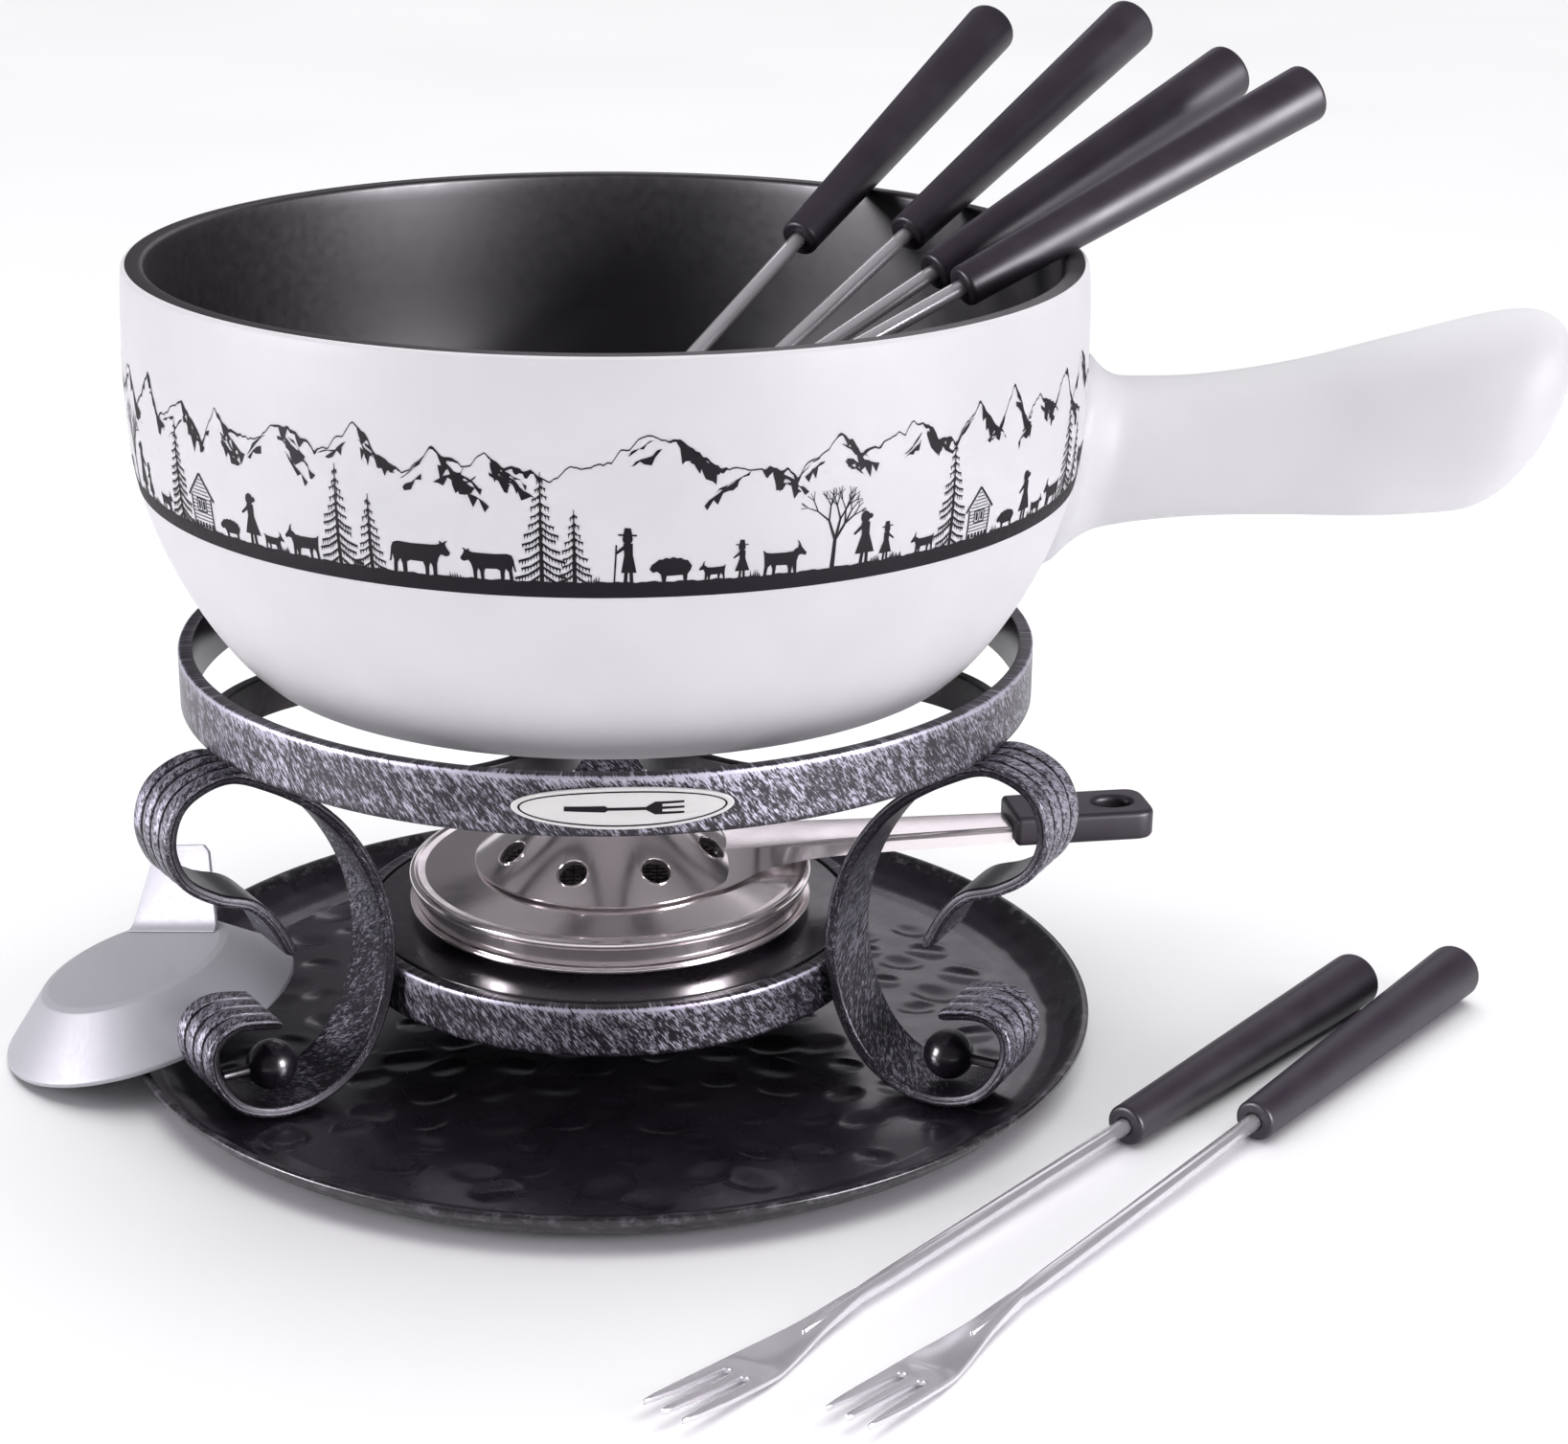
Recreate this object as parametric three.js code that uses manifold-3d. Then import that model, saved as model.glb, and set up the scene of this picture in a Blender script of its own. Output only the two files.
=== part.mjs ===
// Fondue pot set: a glazed ceramic pot on a scrolled iron stand over a spirit burner, all on a round tray,
// with six forks and the burner's snuffer lid. Millimetres, +Z up. The origin is the centre of the tray's
// underside, the front of the set faces -Y, and the stand's axis is the Z axis.

import * as THREE from 'three';
import { mergeVertices } from 'three/addons/utils/BufferGeometryUtils.js';
import Module from 'manifold-3d';

const wasm = await Module();
wasm.setup();

// ---- Driving dimensions ------------------------------------------------------------------------------

const GAP = 0.3; // between pieces that touch
const ROUND_STEPS = 48; // facets round a large turned piece
const UP = new THREE.Vector3(0, 0, 1);

const TRAY_RADIUS = 124.5;
const TRAY_HEIGHT = 10;
const TRAY_SHEET = 2.2;

const RING_OUTER = 106.4; // the stand's top ring
const RING_INNER = 102.8;
const RING_BOTTOM = 94.7;
const RING_TOP = 109.1;

const REST_COUNT = 4; // horseshoe straps inside the top ring that carry the pot
const REST_RADIUS = 43;
const REST_CENTRE = 71;
const REST_STRAP = 3;
const REST_HEIGHT = 10;
const REST_TOP = 105;
const REST_FIRST_ANGLE = 45;

const LEG_ANGLES = [210, 330, 90];
const LEG_WIDTH = 20;
const LEG_OUTER_FACE = 2; // from the line that a leg follows
const LEG_INNER_FACE = 1;
const BALL_RADIUS = 6.3;
const BALL_PLACE = 96.4; // distance of a foot ball from the stand's axis
const BALL_HEIGHT = 12.6;
const PIN_RADIUS = 1.3;
const PIN_END = 109.3; // just inside the wall of the foot scroll

const LOWER_RING_OUTER = 65.8;
const LOWER_RING_INNER = 62.2;
const LOWER_RING_BOTTOM = 21.5;
const LOWER_RING_TOP = 34.2;
const PLATE_RADIUS = 61.7;
const PLATE_THICKNESS = 2.2;

const BURNER_RADIUS = 51.6;
const BURNER_BOTTOM = LOWER_RING_TOP + GAP;
const BURNER_STEPS = 40;
const VENT_COUNT = 8;
const VENT_RADIUS = 3.8;
const VENT_CIRCLE = 26.5;
const VENT_PHASE = -88; // the middle of two vents, in degrees round the burner
const CONE_FOOT = new THREE.Vector2(34.2, 46.4); // lower edge of the burner's fixed cone
const CONE_TOP = new THREE.Vector2(17.5, 58.0);
const REGULATOR_ANGLE = 7; // where the regulator's handle points
const SHEET = 0.8;
const HANDLE_TOP = 51.0;
const HANDLE_DEPTH = 4.1;
const GRIP_START = 105.5;
const GRIP_LENGTH = 38;
const GRIP_WIDTH = 18;
const GRIP_THICKNESS = 8;
const TANG_LENGTH = 10;
const TANG_WIDTH = 11;

const POT_OFFSET = 1; // the pot stands this far off the stand's axis
const POT_BOTTOM = REST_TOP + GAP;

const SNUFFER_RADIUS = 38;
const SNUFFER_HEIGHT = 14;
const SNUFFER_CENTRE = new THREE.Vector3(-117.7, -11.4, 10.6);
const SNUFFER_TILT = 15.7;
const SNUFFER_TILT_TOWARDS = 184;
const SNUFFER_TAB_TOWARDS = 58;
const SNUFFER_TAB_LEAN = 36; // the tab leans outwards from the lid's axis
const SNUFFER_TAB_LENGTH = 23;

const FORK_LENGTH = 274;
const FORK_HANDLE = 109;
const FORK_ROD_RADIUS = 2;
const FORK_ROD_START = 78; // where the rod begins, inside the handle
const FORK_NECK_START = 212;
const FORK_CREASE = 246; // where the flat head bends up
const FORK_CREASE_DROP = 1.5; // the crease lies this far under the rod's line, and the tips stand over it
const FORK_TIP_RISE = 2;
const FORK_HEAD_WIDTH = 13;
const FORK_HEAD_SHEET = 1.5;

// Each fork runs from the free end of its handle to the tips of its tines.
const FORKS = [
  { end: [109.5, 139.9, 241.2], tip: [-39.0, -59.8, 126.7] },
  { end: [145.1, 115.5, 245.2], tip: [-26.3, -65.8, 131.8] },
  { end: [163.5, 67.7, 238.8], tip: [-44.9, -75.1, 133.0] },
  { end: [175.7, 28.9, 238.8], tip: [-53.1, -82.2, 137.1] },
  { end: [198.8, 3.8, 7.75], tip: [9.4, -194.2, 2.07] },
  { end: [227.0, 8.4, 7.75], tip: [46.7, -197.9, 2.07] },
];

// ---- Materials ---------------------------------------------------------------------------------------

function finish(color, roughness, metalness) {
  return () => new THREE.MeshStandardMaterial({ color, roughness, metalness });
}

const blackEnamel = finish(0x17151a, 0.3, 0.4);
const brushedIron = finish(0x55525c, 0.45, 0.8);
const innerIron = finish(0x241e22, 0.5, 0.6);
const polishedSteel = finish(0xb9b2b0, 0.15, 1.0);
const satinSteel = finish(0xc4c4cc, 0.4, 1.0);
const whiteGlaze = finish(0xe9e8ea, 0.35, 0.0);
const blackPlastic = finish(0x262226, 0.6, 0.0);
const wickWool = finish(0xd8d2c4, 0.95, 0.0);
const paperWhite = finish(0xf2f0ee, 0.5, 0.0);

// ---- Solids ------------------------------------------------------------------------------------------

function signedVolume(position, index) {
  const [a, b, c] = [new THREE.Vector3(), new THREE.Vector3(), new THREE.Vector3()];
  let sum = 0;
  for (let i = 0; i < index.length; i += 3) {
    a.fromArray(position, 3 * index[i]);
    b.fromArray(position, 3 * index[i + 1]);
    c.fromArray(position, 3 * index[i + 2]);
    sum += a.dot(b.cross(c));
  }
  return sum / 6;
}

// A closed geometry as a manifold solid: shared corners merged, slivers dropped, faces turned outwards.
function toSolid(geometry) {
  const bare = geometry.clone();
  bare.deleteAttribute('normal');
  bare.deleteAttribute('uv');
  const merged = mergeVertices(bare, 1e-4);
  const position = merged.getAttribute('position').array;
  const corners = merged.index.array;
  const kept = [];
  for (let i = 0; i < corners.length; i += 3) {
    const [a, b, c] = [corners[i], corners[i + 1], corners[i + 2]];
    if (a !== b && b !== c && c !== a) {
      kept.push(a, b, c);
    }
  }
  if (signedVolume(position, kept) < 0) kept.reverse();
  return new wasm.Manifold(
    new wasm.Mesh({
      numProp: 3,
      vertProperties: new Float32Array(position),
      triVerts: new Uint32Array(kept),
    }),
  );
}

function toGeometry(solid) {
  const mesh = solid.getMesh();
  const geometry = new THREE.BufferGeometry();
  geometry.setAttribute('position', new THREE.BufferAttribute(new Float32Array(mesh.vertProperties), 3));
  geometry.setIndex(new THREE.BufferAttribute(new Uint32Array(mesh.triVerts), 1));
  geometry.computeVertexNormals();
  return geometry;
}

// A solid turned about the Z axis from points of radius and height.
function turned(points, steps = ROUND_STEPS) {
  const profile = points.map(([r, z]) => new THREE.Vector2(r, z));
  return toSolid(new THREE.LatheGeometry(profile, steps).rotateX(Math.PI / 2));
}

// The same for a profile that closes on itself.
function turnedRing(points, steps = ROUND_STEPS) {
  return turned([...points, points[0]], steps);
}

// A flat outline in the XY plane, raised from one height to another.
function raised(outline, low, high, curveSegments = 12) {
  const options = { depth: high - low, bevelEnabled: false, curveSegments };
  return toSolid(new THREE.ExtrudeGeometry(outline, options).translate(0, 0, low));
}

// A flat outline in the XZ plane, with its thickness centred on Y = 0.
function upright(outline, thickness) {
  return raised(outline, -thickness / 2, thickness / 2, 6).rotate([90, 0, 0]);
}

function outlineOf(points) {
  return new THREE.Shape(points.map(([x, y]) => new THREE.Vector2(x, y)));
}

function cylinder(radius, low, high, steps = 24) {
  const geometry = new THREE.CylinderGeometry(radius, radius, high - low, steps).rotateX(Math.PI / 2);
  return toSolid(geometry.translate(0, 0, (low + high) / 2));
}

function box(sizeX, sizeY, sizeZ, x, y, z) {
  return toSolid(new THREE.BoxGeometry(sizeX, sizeY, sizeZ).translate(x, y, z));
}

function radians(degrees) {
  return THREE.MathUtils.degToRad(degrees);
}

const set = new THREE.Group();

function place(name, solid, material, parent = set) {
  const mesh = new THREE.Mesh(toGeometry(solid), material());
  mesh.name = name;
  parent.add(mesh);
  return mesh;
}

// ---- Tray --------------------------------------------------------------------------------------------

place(
  'tray',
  turned([
    [0, 0],
    [109, 0],
    [115, 1.0],
    [119.5, 3.6],
    [TRAY_RADIUS, TRAY_HEIGHT - 1.2],
    [TRAY_RADIUS, TRAY_HEIGHT],
    [TRAY_RADIUS - 1.8, TRAY_HEIGHT],
    [117.8, 5.0],
    [113.8, 3.0],
    [108.5, TRAY_SHEET],
    [0, TRAY_SHEET],
  ]),
  blackEnamel,
);

// ---- Stand -------------------------------------------------------------------------------------------

function hoop(inner, outer, low, high) {
  const edge = 0.5;
  return turnedRing([
    [inner, low],
    [outer - edge, low],
    [outer, low + edge],
    [outer, high - edge],
    [outer - edge, high],
    [inner, high],
  ]);
}

place('top_ring', hoop(RING_INNER, RING_OUTER, RING_BOTTOM, RING_TOP), brushedIron);

// A pot rest is a circular strap on edge, open where it meets the inside of the top ring.
function potRest() {
  const strap = new THREE.Shape();
  strap.absarc(REST_CENTRE, 0, REST_RADIUS + REST_STRAP / 2, 0, 2 * Math.PI);
  const hole = new THREE.Path();
  hole.absarc(REST_CENTRE, 0, REST_RADIUS - REST_STRAP / 2, 0, 2 * Math.PI);
  strap.holes.push(hole);
  const inside = cylinder(RING_INNER - 2 * GAP, 0, RING_TOP, ROUND_STEPS);
  return raised(strap, REST_TOP - REST_HEIGHT, REST_TOP, 18).intersect(inside);
}

for (let i = 0; i < REST_COUNT; i += 1) {
  const rest = place(`pot_rest_${i + 1}`, potRest(), innerIron);
  rest.rotation.z = radians(REST_FIRST_ANGLE + (i * 360) / REST_COUNT);
}

// A leg is one flat strap, bent to an upper scroll, a C and a foot scroll. Its line is given as radius and height.
const LEG_PATH = [
  [93, 45],
  [97.5, 54],
  [103, 60],
  [111.5, 63.5],
  [119.3, 69.5],
  [122.2, 79],
  [118.5, 88.2],
  [108, 92.2],
  [97.5, 88.3],
  [86, 80.5],
  [77, 70],
  [70.5, 56],
  [68.3, 40],
  [70.8, 25],
  [77.5, 12.8],
  [87, 6.3],
  [98, 4.6],
  [108, 8.2],
  [114, 17],
  [114, 25],
  [108, 28.6],
  [97.5, 26.8],
];

// Outline of a strap along a line, with its inner face to the left of the line and its outer face to the right.
function strapOutline(path, innerFace, outerFace, samples) {
  const curve = new THREE.SplineCurve(path.map(([x, y]) => new THREE.Vector2(x, y)));
  const inner = [];
  const outer = [];
  for (let i = 0; i <= samples; i += 1) {
    const point = curve.getPointAt(i / samples);
    const along = curve.getTangentAt(i / samples);
    const left = new THREE.Vector2(-along.y, along.x);
    inner.push(point.clone().addScaledVector(left, innerFace));
    outer.push(point.clone().addScaledVector(left, -outerFace));
  }
  const rounding = (innerFace + outerFace) / 3;
  const start = inner[0].clone().lerp(outer[0], 0.5).addScaledVector(curve.getTangentAt(0), -rounding);
  const stop = inner[samples].clone().lerp(outer[samples], 0.5).addScaledVector(curve.getTangentAt(1), rounding);
  return new THREE.Shape([start, ...inner, stop, ...outer.reverse()]);
}

LEG_ANGLES.forEach((angle, i) => {
  const outline = strapOutline(LEG_PATH, LEG_INNER_FACE, LEG_OUTER_FACE, 56);
  const leg = place(`leg_${i + 1}`, upright(outline, LEG_WIDTH), brushedIron);
  leg.rotation.z = radians(angle);
});

// Each foot scroll holds a ball by a level pin that points outwards.
function footBall() {
  const ball = toSolid(new THREE.SphereGeometry(BALL_RADIUS, 16, 10).rotateX(Math.PI / 2));
  const pin = cylinder(PIN_RADIUS, 0, PIN_END - BALL_PLACE, 12).rotate([0, 90, 0]);
  return ball.add(pin).translate([BALL_PLACE, 0, BALL_HEIGHT]);
}

LEG_ANGLES.forEach((angle, i) => {
  const ball = place(`foot_ball_${i + 1}`, footBall(), blackEnamel);
  ball.rotation.z = radians(angle);
});

place(
  'lower_ring',
  hoop(LOWER_RING_INNER, LOWER_RING_OUTER, LOWER_RING_BOTTOM, LOWER_RING_TOP),
  brushedIron,
);
place(
  'burner_plate',
  cylinder(PLATE_RADIUS, LOWER_RING_TOP - PLATE_THICKNESS, LOWER_RING_TOP, ROUND_STEPS),
  blackEnamel,
);

// An oval label lies on the front of the top ring.
function ringLabel() {
  const thickness = 0.7;
  const middle = (RING_BOTTOM + RING_TOP) / 2;
  const inner = RING_OUTER + 1.6 * GAP;
  const band = hoop(inner, inner + thickness, RING_BOTTOM, RING_TOP);
  const oval = new THREE.Shape();
  oval.absellipse(0, middle, 24.9, 4.9, 0, 2 * Math.PI);
  const front = upright(oval, 60).translate([0, -RING_OUTER, 0]);
  return band.intersect(front);
}

const label = place('ring_label', ringLabel(), paperWhite);
label.rotation.z = radians(1.5);

// ---- Burner ------------------------------------------------------------------------------------------

place(
  'burner_pan',
  turned(
    [
      [0, BURNER_BOTTOM],
      [44, BURNER_BOTTOM],
      [48.5, 36.0],
      [BURNER_RADIUS, 37.0],
      [BURNER_RADIUS, 38.0],
      [48.4, 38.0],
      [47.9, 36.8],
      [43.6, BURNER_BOTTOM + SHEET],
      [0, BURNER_BOTTOM + SHEET],
    ],
    BURNER_STEPS,
  ),
  polishedSteel,
);

// Eight round cutters stand square to the burner's cone.
function ventCutters() {
  const slope = CONE_TOP.clone().sub(CONE_FOOT);
  const share = (CONE_FOOT.x - VENT_CIRCLE) / (CONE_FOOT.x - CONE_TOP.x);
  const middle = CONE_FOOT.clone().addScaledVector(slope, share);
  const normal = new THREE.Vector3(slope.y, 0, -slope.x).normalize();
  const turn = new THREE.Quaternion().setFromUnitVectors(new THREE.Vector3(0, 1, 0), normal);
  let cutters = null;
  for (let i = 0; i < VENT_COUNT; i += 1) {
    const angle = radians(VENT_PHASE + ((i + 0.5) * 360) / VENT_COUNT);
    const round = new THREE.CylinderGeometry(VENT_RADIUS, VENT_RADIUS, 8, 16);
    round.applyQuaternion(turn).translate(middle.x, 0, middle.y).rotateZ(angle);
    const cutter = toSolid(round);
    cutters = cutters ? cutters.add(cutter) : cutter;
  }
  return cutters;
}

// A point moved square to the cone's slope, outwards.
function offCone(point, distance) {
  const slope = CONE_TOP.clone().sub(CONE_FOOT).normalize();
  return [point.x + slope.y * distance, point.y - slope.x * distance];
}

place(
  'burner_top',
  turnedRing(
    [
      [BURNER_RADIUS - 1, 38.3],
      [BURNER_RADIUS - 1, 43.0],
      [BURNER_RADIUS, 43.7],
      [BURNER_RADIUS, 44.8],
      [50.7, 45.6],
      [49.4, 45.3],
      [47.6, 45.0],
      [CONE_FOOT.x, CONE_FOOT.y],
      [CONE_TOP.x, CONE_TOP.y],
      offCone(CONE_TOP, -SHEET),
      [33.8, 45.6],
      [47.4, 44.2],
      [49.8, 44.2],
      [49.8, 38.3],
    ],
    BURNER_STEPS,
  ).subtract(ventCutters()),
  polishedSteel,
);

place('burner_pad', cylinder(30, BURNER_BOTTOM + SHEET + GAP, 42.6, 32), wickWool);
place('burner_screen', cylinder(31, 42.6 + GAP, 43.7, 32), satinSteel);

// The regulator is one sheet: a cone that turns on the burner's fixed cone, and a channel-shaped handle.
function regulatorCone() {
  return turnedRing(
    [
      offCone(CONE_FOOT, GAP + 0.2),
      offCone(CONE_FOOT, GAP + 0.2 + SHEET),
      offCone(CONE_TOP, GAP + 0.2 + SHEET),
      [16.5, 59.9],
      [14.5, 60.0],
      [14.5, 59.2],
      [16.3, 59.1],
      offCone(CONE_TOP, GAP + 0.2),
    ],
    BURNER_STEPS,
  );
}

function regulatorHandle() {
  const half = [
    [22, 14.5],
    [36, 12.0],
    [50, 8.8],
    [70, 7.4],
    [GRIP_START - GAP, 6.3],
  ];
  const outlineWith = (inset) => {
    const side = half.map(([x, y]) => [x, y - inset]);
    const other = side.map(([x, y]) => [x, -y]).reverse();
    return outlineOf([...side, ...other]);
  };
  const low = HANDLE_TOP - HANDLE_DEPTH;
  const channel = raised(outlineWith(0), low, HANDLE_TOP).subtract(
    raised(outlineWith(SHEET), low - 1, HANDLE_TOP - SHEET),
  );
  const tang = box(TANG_LENGTH, TANG_WIDTH, SHEET, GRIP_START + TANG_LENGTH / 2 - 1, 0, HANDLE_TOP - SHEET / 2);
  const [footX, footZ] = offCone(CONE_FOOT, GAP + 0.3);
  const [topX, topZ] = offCone(CONE_TOP, GAP + 0.3);
  const underCone = turned(
    [
      [0, 40],
      [footX, 40],
      [footX, footZ],
      [topX, topZ],
      [0, topZ],
    ],
    BURNER_STEPS,
  );
  return channel.add(tang).subtract(underCone);
}

const regulator = place(
  'regulator',
  regulatorCone()
    .subtract(ventCutters().rotate([0, 0, -REGULATOR_ANGLE]))
    .add(regulatorHandle()),
  polishedSteel,
);
regulator.rotation.z = radians(REGULATOR_ANGLE);

function regulatorGrip() {
  const rounding = 1.5;
  const corner = 4;
  const x = GRIP_START;
  const y = GRIP_WIDTH / 2;
  const stop = GRIP_START + GRIP_LENGTH;
  const outline = new THREE.Shape();
  outline.moveTo(x, -y);
  outline.lineTo(stop - corner, -y);
  outline.absarc(stop - corner, -y + corner, corner, -Math.PI / 2, 0);
  outline.absarc(stop - corner, y - corner, corner, 0, Math.PI / 2);
  outline.lineTo(x, y);
  const hole = new THREE.Path();
  hole.absellipse(stop - 10, 0, 5.2, 3.6, 0, 2 * Math.PI);
  outline.holes.push(hole);
  const options = {
    depth: GRIP_THICKNESS - 2 * rounding,
    bevelThickness: rounding,
    bevelSize: rounding,
    bevelOffset: -rounding,
    bevelSegments: 2,
    curveSegments: 6,
  };
  const geometry = new THREE.ExtrudeGeometry(outline, options);
  const middle = HANDLE_TOP - SHEET / 2;
  const body = toSolid(geometry.translate(0, 0, middle - options.depth / 2));
  const socketLength = TANG_LENGTH - 1 + GAP;
  return body.subtract(
    box(2 * socketLength, TANG_WIDTH + 2 * GAP, SHEET + 2 * GAP, GRIP_START, 0, middle),
  );
}

const grip = place('regulator_grip', regulatorGrip(), blackPlastic);
grip.rotation.z = radians(REGULATOR_ANGLE);

// ---- Pot ---------------------------------------------------------------------------------------------

const POT_INSIDE = [
  [109.8, 201.4],
  [110, 172],
  [108.2, 155],
  [104.6, 141.5],
  [99.8, 130],
  [94, 120],
  [87, 113.4],
  [79, POT_BOTTOM + 6],
  [0, POT_BOTTOM + 6],
];

const POT_OUTSIDE = [
  [0, POT_BOTTOM],
  [84, POT_BOTTOM],
  [89.5, POT_BOTTOM + 1.5],
  [94.5, 111.8],
  [100.4, 120],
  [106, 130],
  [110.9, 141.5],
  [114.6, 155],
  [116.2, 170],
  [116.2, 190],
  [115.7, 201.4],
  [114.4, 203.7],
  [112.7, 204.4],
  [110.9, 203.6],
];

// The pot's handle flares to a slanted end. Each station gives the top and bottom of an oval section, as X and
// Z, and half its width. The last ones round off the end.
const HANDLE_STATIONS = [
  { top: [112.5, 173.5], bottom: [103, 130], half: 17 },
  { top: [128, 172.8], bottom: [122, 135.6], half: 16 },
  { top: [147, 173.3], bottom: [143, 138], half: 15.5 },
  { top: [170, 176.8], bottom: [165, 138.4], half: 16 },
  { top: [195, 183], bottom: [186, 138], half: 17.5 },
  { top: [218, 188.6], bottom: [203, 138.6], half: 18.5 },
  { top: [230, 189.2], bottom: [213, 139.8], half: 18 },
  { top: [236.2, 184.5], bottom: [220, 143.5], half: 15 },
  { top: [237.5, 178], bottom: [226.5, 149.5], half: 10 },
  { top: [237.2, 171.5], bottom: [231.5, 157], half: 5 },
];

function lofted(stations, steps) {
  const last = stations.length - 1;
  const geometry = new THREE.CylinderGeometry(1, 1, 1, steps, last);
  const position = geometry.getAttribute('position');
  for (let i = 0; i < position.count; i += 1) {
    const { top, bottom, half } = stations[Math.round((0.5 - position.getY(i)) * last)];
    const share = (1 + position.getZ(i)) / 2;
    const x = bottom[0] + (top[0] - bottom[0]) * share;
    const z = bottom[1] + (top[1] - bottom[1]) * share;
    position.setXYZ(i, x, position.getX(i) * half, z);
  }
  return toSolid(geometry);
}

const bowl = turned([...POT_OUTSIDE, ...POT_INSIDE]);
const bowlSpace = turned([[0, 220], [109.8, 220], ...POT_INSIDE]);
const handle = lofted(HANDLE_STATIONS, 24);
const pot = place('pot', handle.subtract(bowlSpace).add(bowl), whiteGlaze);
pot.position.x = POT_OFFSET;

// ---- Forks -------------------------------------------------------------------------------------------

// A fork lies along X from its handle's free end at 0 to its tips, with its tines flat in the XY plane.

function alongX(points, steps) {
  return turned(points, steps).rotate([0, 90, 0]);
}

// A plate in the XY plane, tipped so that it falls from one height at x0 to another at x1.
function tippedPlate(outline, x0, z0, x1, z1) {
  const tip = THREE.MathUtils.radToDeg(Math.atan2(z0 - z1, x1 - x0));
  const plate = raised(outline, -FORK_HEAD_SHEET / 2, FORK_HEAD_SHEET / 2, 4).translate([-x0, 0, 0]);
  return plate.rotate([0, tip, 0]).translate([x0, 0, z0]);
}

function forkSteel() {
  const rod = alongX(
    [
      [0, FORK_ROD_START],
      [FORK_ROD_RADIUS, FORK_ROD_START],
      [FORK_ROD_RADIUS, FORK_NECK_START],
      [0.9, FORK_NECK_START + 12],
      [0, FORK_NECK_START + 12],
    ],
    10,
  );
  const half = FORK_HEAD_WIDTH / 2;
  const neck = outlineOf([
    [FORK_NECK_START - 4, 1.5],
    [FORK_NECK_START + 12, 2.4],
    [FORK_CREASE - 10, 4.4],
    [FORK_CREASE, half],
    [FORK_CREASE, -half],
    [FORK_CREASE - 10, -4.4],
    [FORK_NECK_START + 12, -2.4],
    [FORK_NECK_START - 4, -1.5],
  ]);
  const gapHalf = 1.05;
  const gapMiddle = 2.35;
  const root = FORK_CREASE + 5;
  const tines = outlineOf([
    [FORK_CREASE - 1, half],
    [FORK_CREASE + 6, half],
    [FORK_LENGTH, half - 0.8],
    [FORK_LENGTH, half - 1.6],
    [root + 1, gapMiddle + gapHalf],
    [root, gapMiddle],
    [root + 1, gapMiddle - gapHalf],
    [FORK_LENGTH, 0.4],
    [FORK_LENGTH, -0.4],
    [root + 1, gapHalf - gapMiddle],
    [root, -gapMiddle],
    [root + 1, -gapMiddle - gapHalf],
    [FORK_LENGTH, 1.6 - half],
    [FORK_LENGTH, 0.8 - half],
    [FORK_CREASE + 6, -half],
    [FORK_CREASE - 1, -half],
  ]);
  return rod
    .add(tippedPlate(neck, FORK_NECK_START, 0, FORK_CREASE, -FORK_CREASE_DROP))
    .add(tippedPlate(tines, FORK_CREASE, -FORK_CREASE_DROP, FORK_LENGTH, FORK_TIP_RISE));
}

function forkHandle() {
  const endRadius = 7.6;
  const rodEndRadius = 5.2;
  return alongX(
    [
      [0, 0],
      [endRadius - 1.8, 0],
      [endRadius - 0.4, 0.7],
      [endRadius, 2.2],
      [rodEndRadius, FORK_HANDLE - 2.2],
      [rodEndRadius - 0.7, FORK_HANDLE - 0.6],
      [rodEndRadius - 1.9, FORK_HANDLE],
      [FORK_ROD_RADIUS + GAP, FORK_HANDLE],
      [FORK_ROD_RADIUS + GAP, FORK_ROD_START - GAP],
      [0, FORK_ROD_START - GAP],
    ],
    14,
  );
}

FORKS.forEach(({ end, tip }, i) => {
  const fork = new THREE.Group();
  const along = new THREE.Vector3(...tip).sub(new THREE.Vector3(...end)).normalize();
  const across = new THREE.Vector3().crossVectors(UP, along).normalize();
  const above = new THREE.Vector3().crossVectors(along, across);
  fork.setRotationFromMatrix(new THREE.Matrix4().makeBasis(along, across, above));
  fork.position.set(...end);
  place(`fork_${i + 1}_steel`, forkSteel(), polishedSteel, fork);
  place(`fork_${i + 1}_handle`, forkHandle(), blackPlastic, fork);
  set.add(fork);
});

// ---- Snuffer lid -------------------------------------------------------------------------------------

// The snuffer is one sheet: a shallow cone with a flat top, and a tab bent up from the top's edge.
function snufferLid() {
  const edge = SNUFFER_RADIUS - SHEET;
  const shell = turned(
    [
      [edge, 0],
      [SNUFFER_RADIUS, 0],
      [SNUFFER_RADIUS, 1.2],
      [24.6, 13.4],
      [23.0, SNUFFER_HEIGHT],
      [0, SNUFFER_HEIGHT],
      [0, SNUFFER_HEIGHT - SHEET],
      [22.8, SNUFFER_HEIGHT - SHEET],
      [24.1, 12.7],
      [edge, 0.9],
      [edge, 0],
    ],
    BURNER_STEPS,
  );
  const tab = outlineOf([
    [-15, 0],
    [15, 0],
    [9.5, SNUFFER_TAB_LENGTH - 2],
    [7.5, SNUFFER_TAB_LENGTH],
    [-7.5, SNUFFER_TAB_LENGTH],
    [-9.5, SNUFFER_TAB_LENGTH - 2],
  ]);
  const leaning = upright(tab, 1).rotate([-SNUFFER_TAB_LEAN, 0, 0]);
  return shell.add(leaning.translate([0, 16.5, SNUFFER_HEIGHT - 0.6]));
}

const snuffer = place('snuffer_lid', snufferLid(), satinSteel);
const lean = radians(SNUFFER_TILT);
const leanTowards = radians(SNUFFER_TILT_TOWARDS);
const lidUp = new THREE.Vector3(
  Math.sin(lean) * Math.cos(leanTowards),
  Math.sin(lean) * Math.sin(leanTowards),
  Math.cos(lean),
);
snuffer.quaternion.setFromUnitVectors(UP, lidUp);
snuffer.rotateZ(radians(SNUFFER_TAB_TOWARDS - 90));
snuffer.position.copy(SNUFFER_CENTRE);

export default set;
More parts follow.
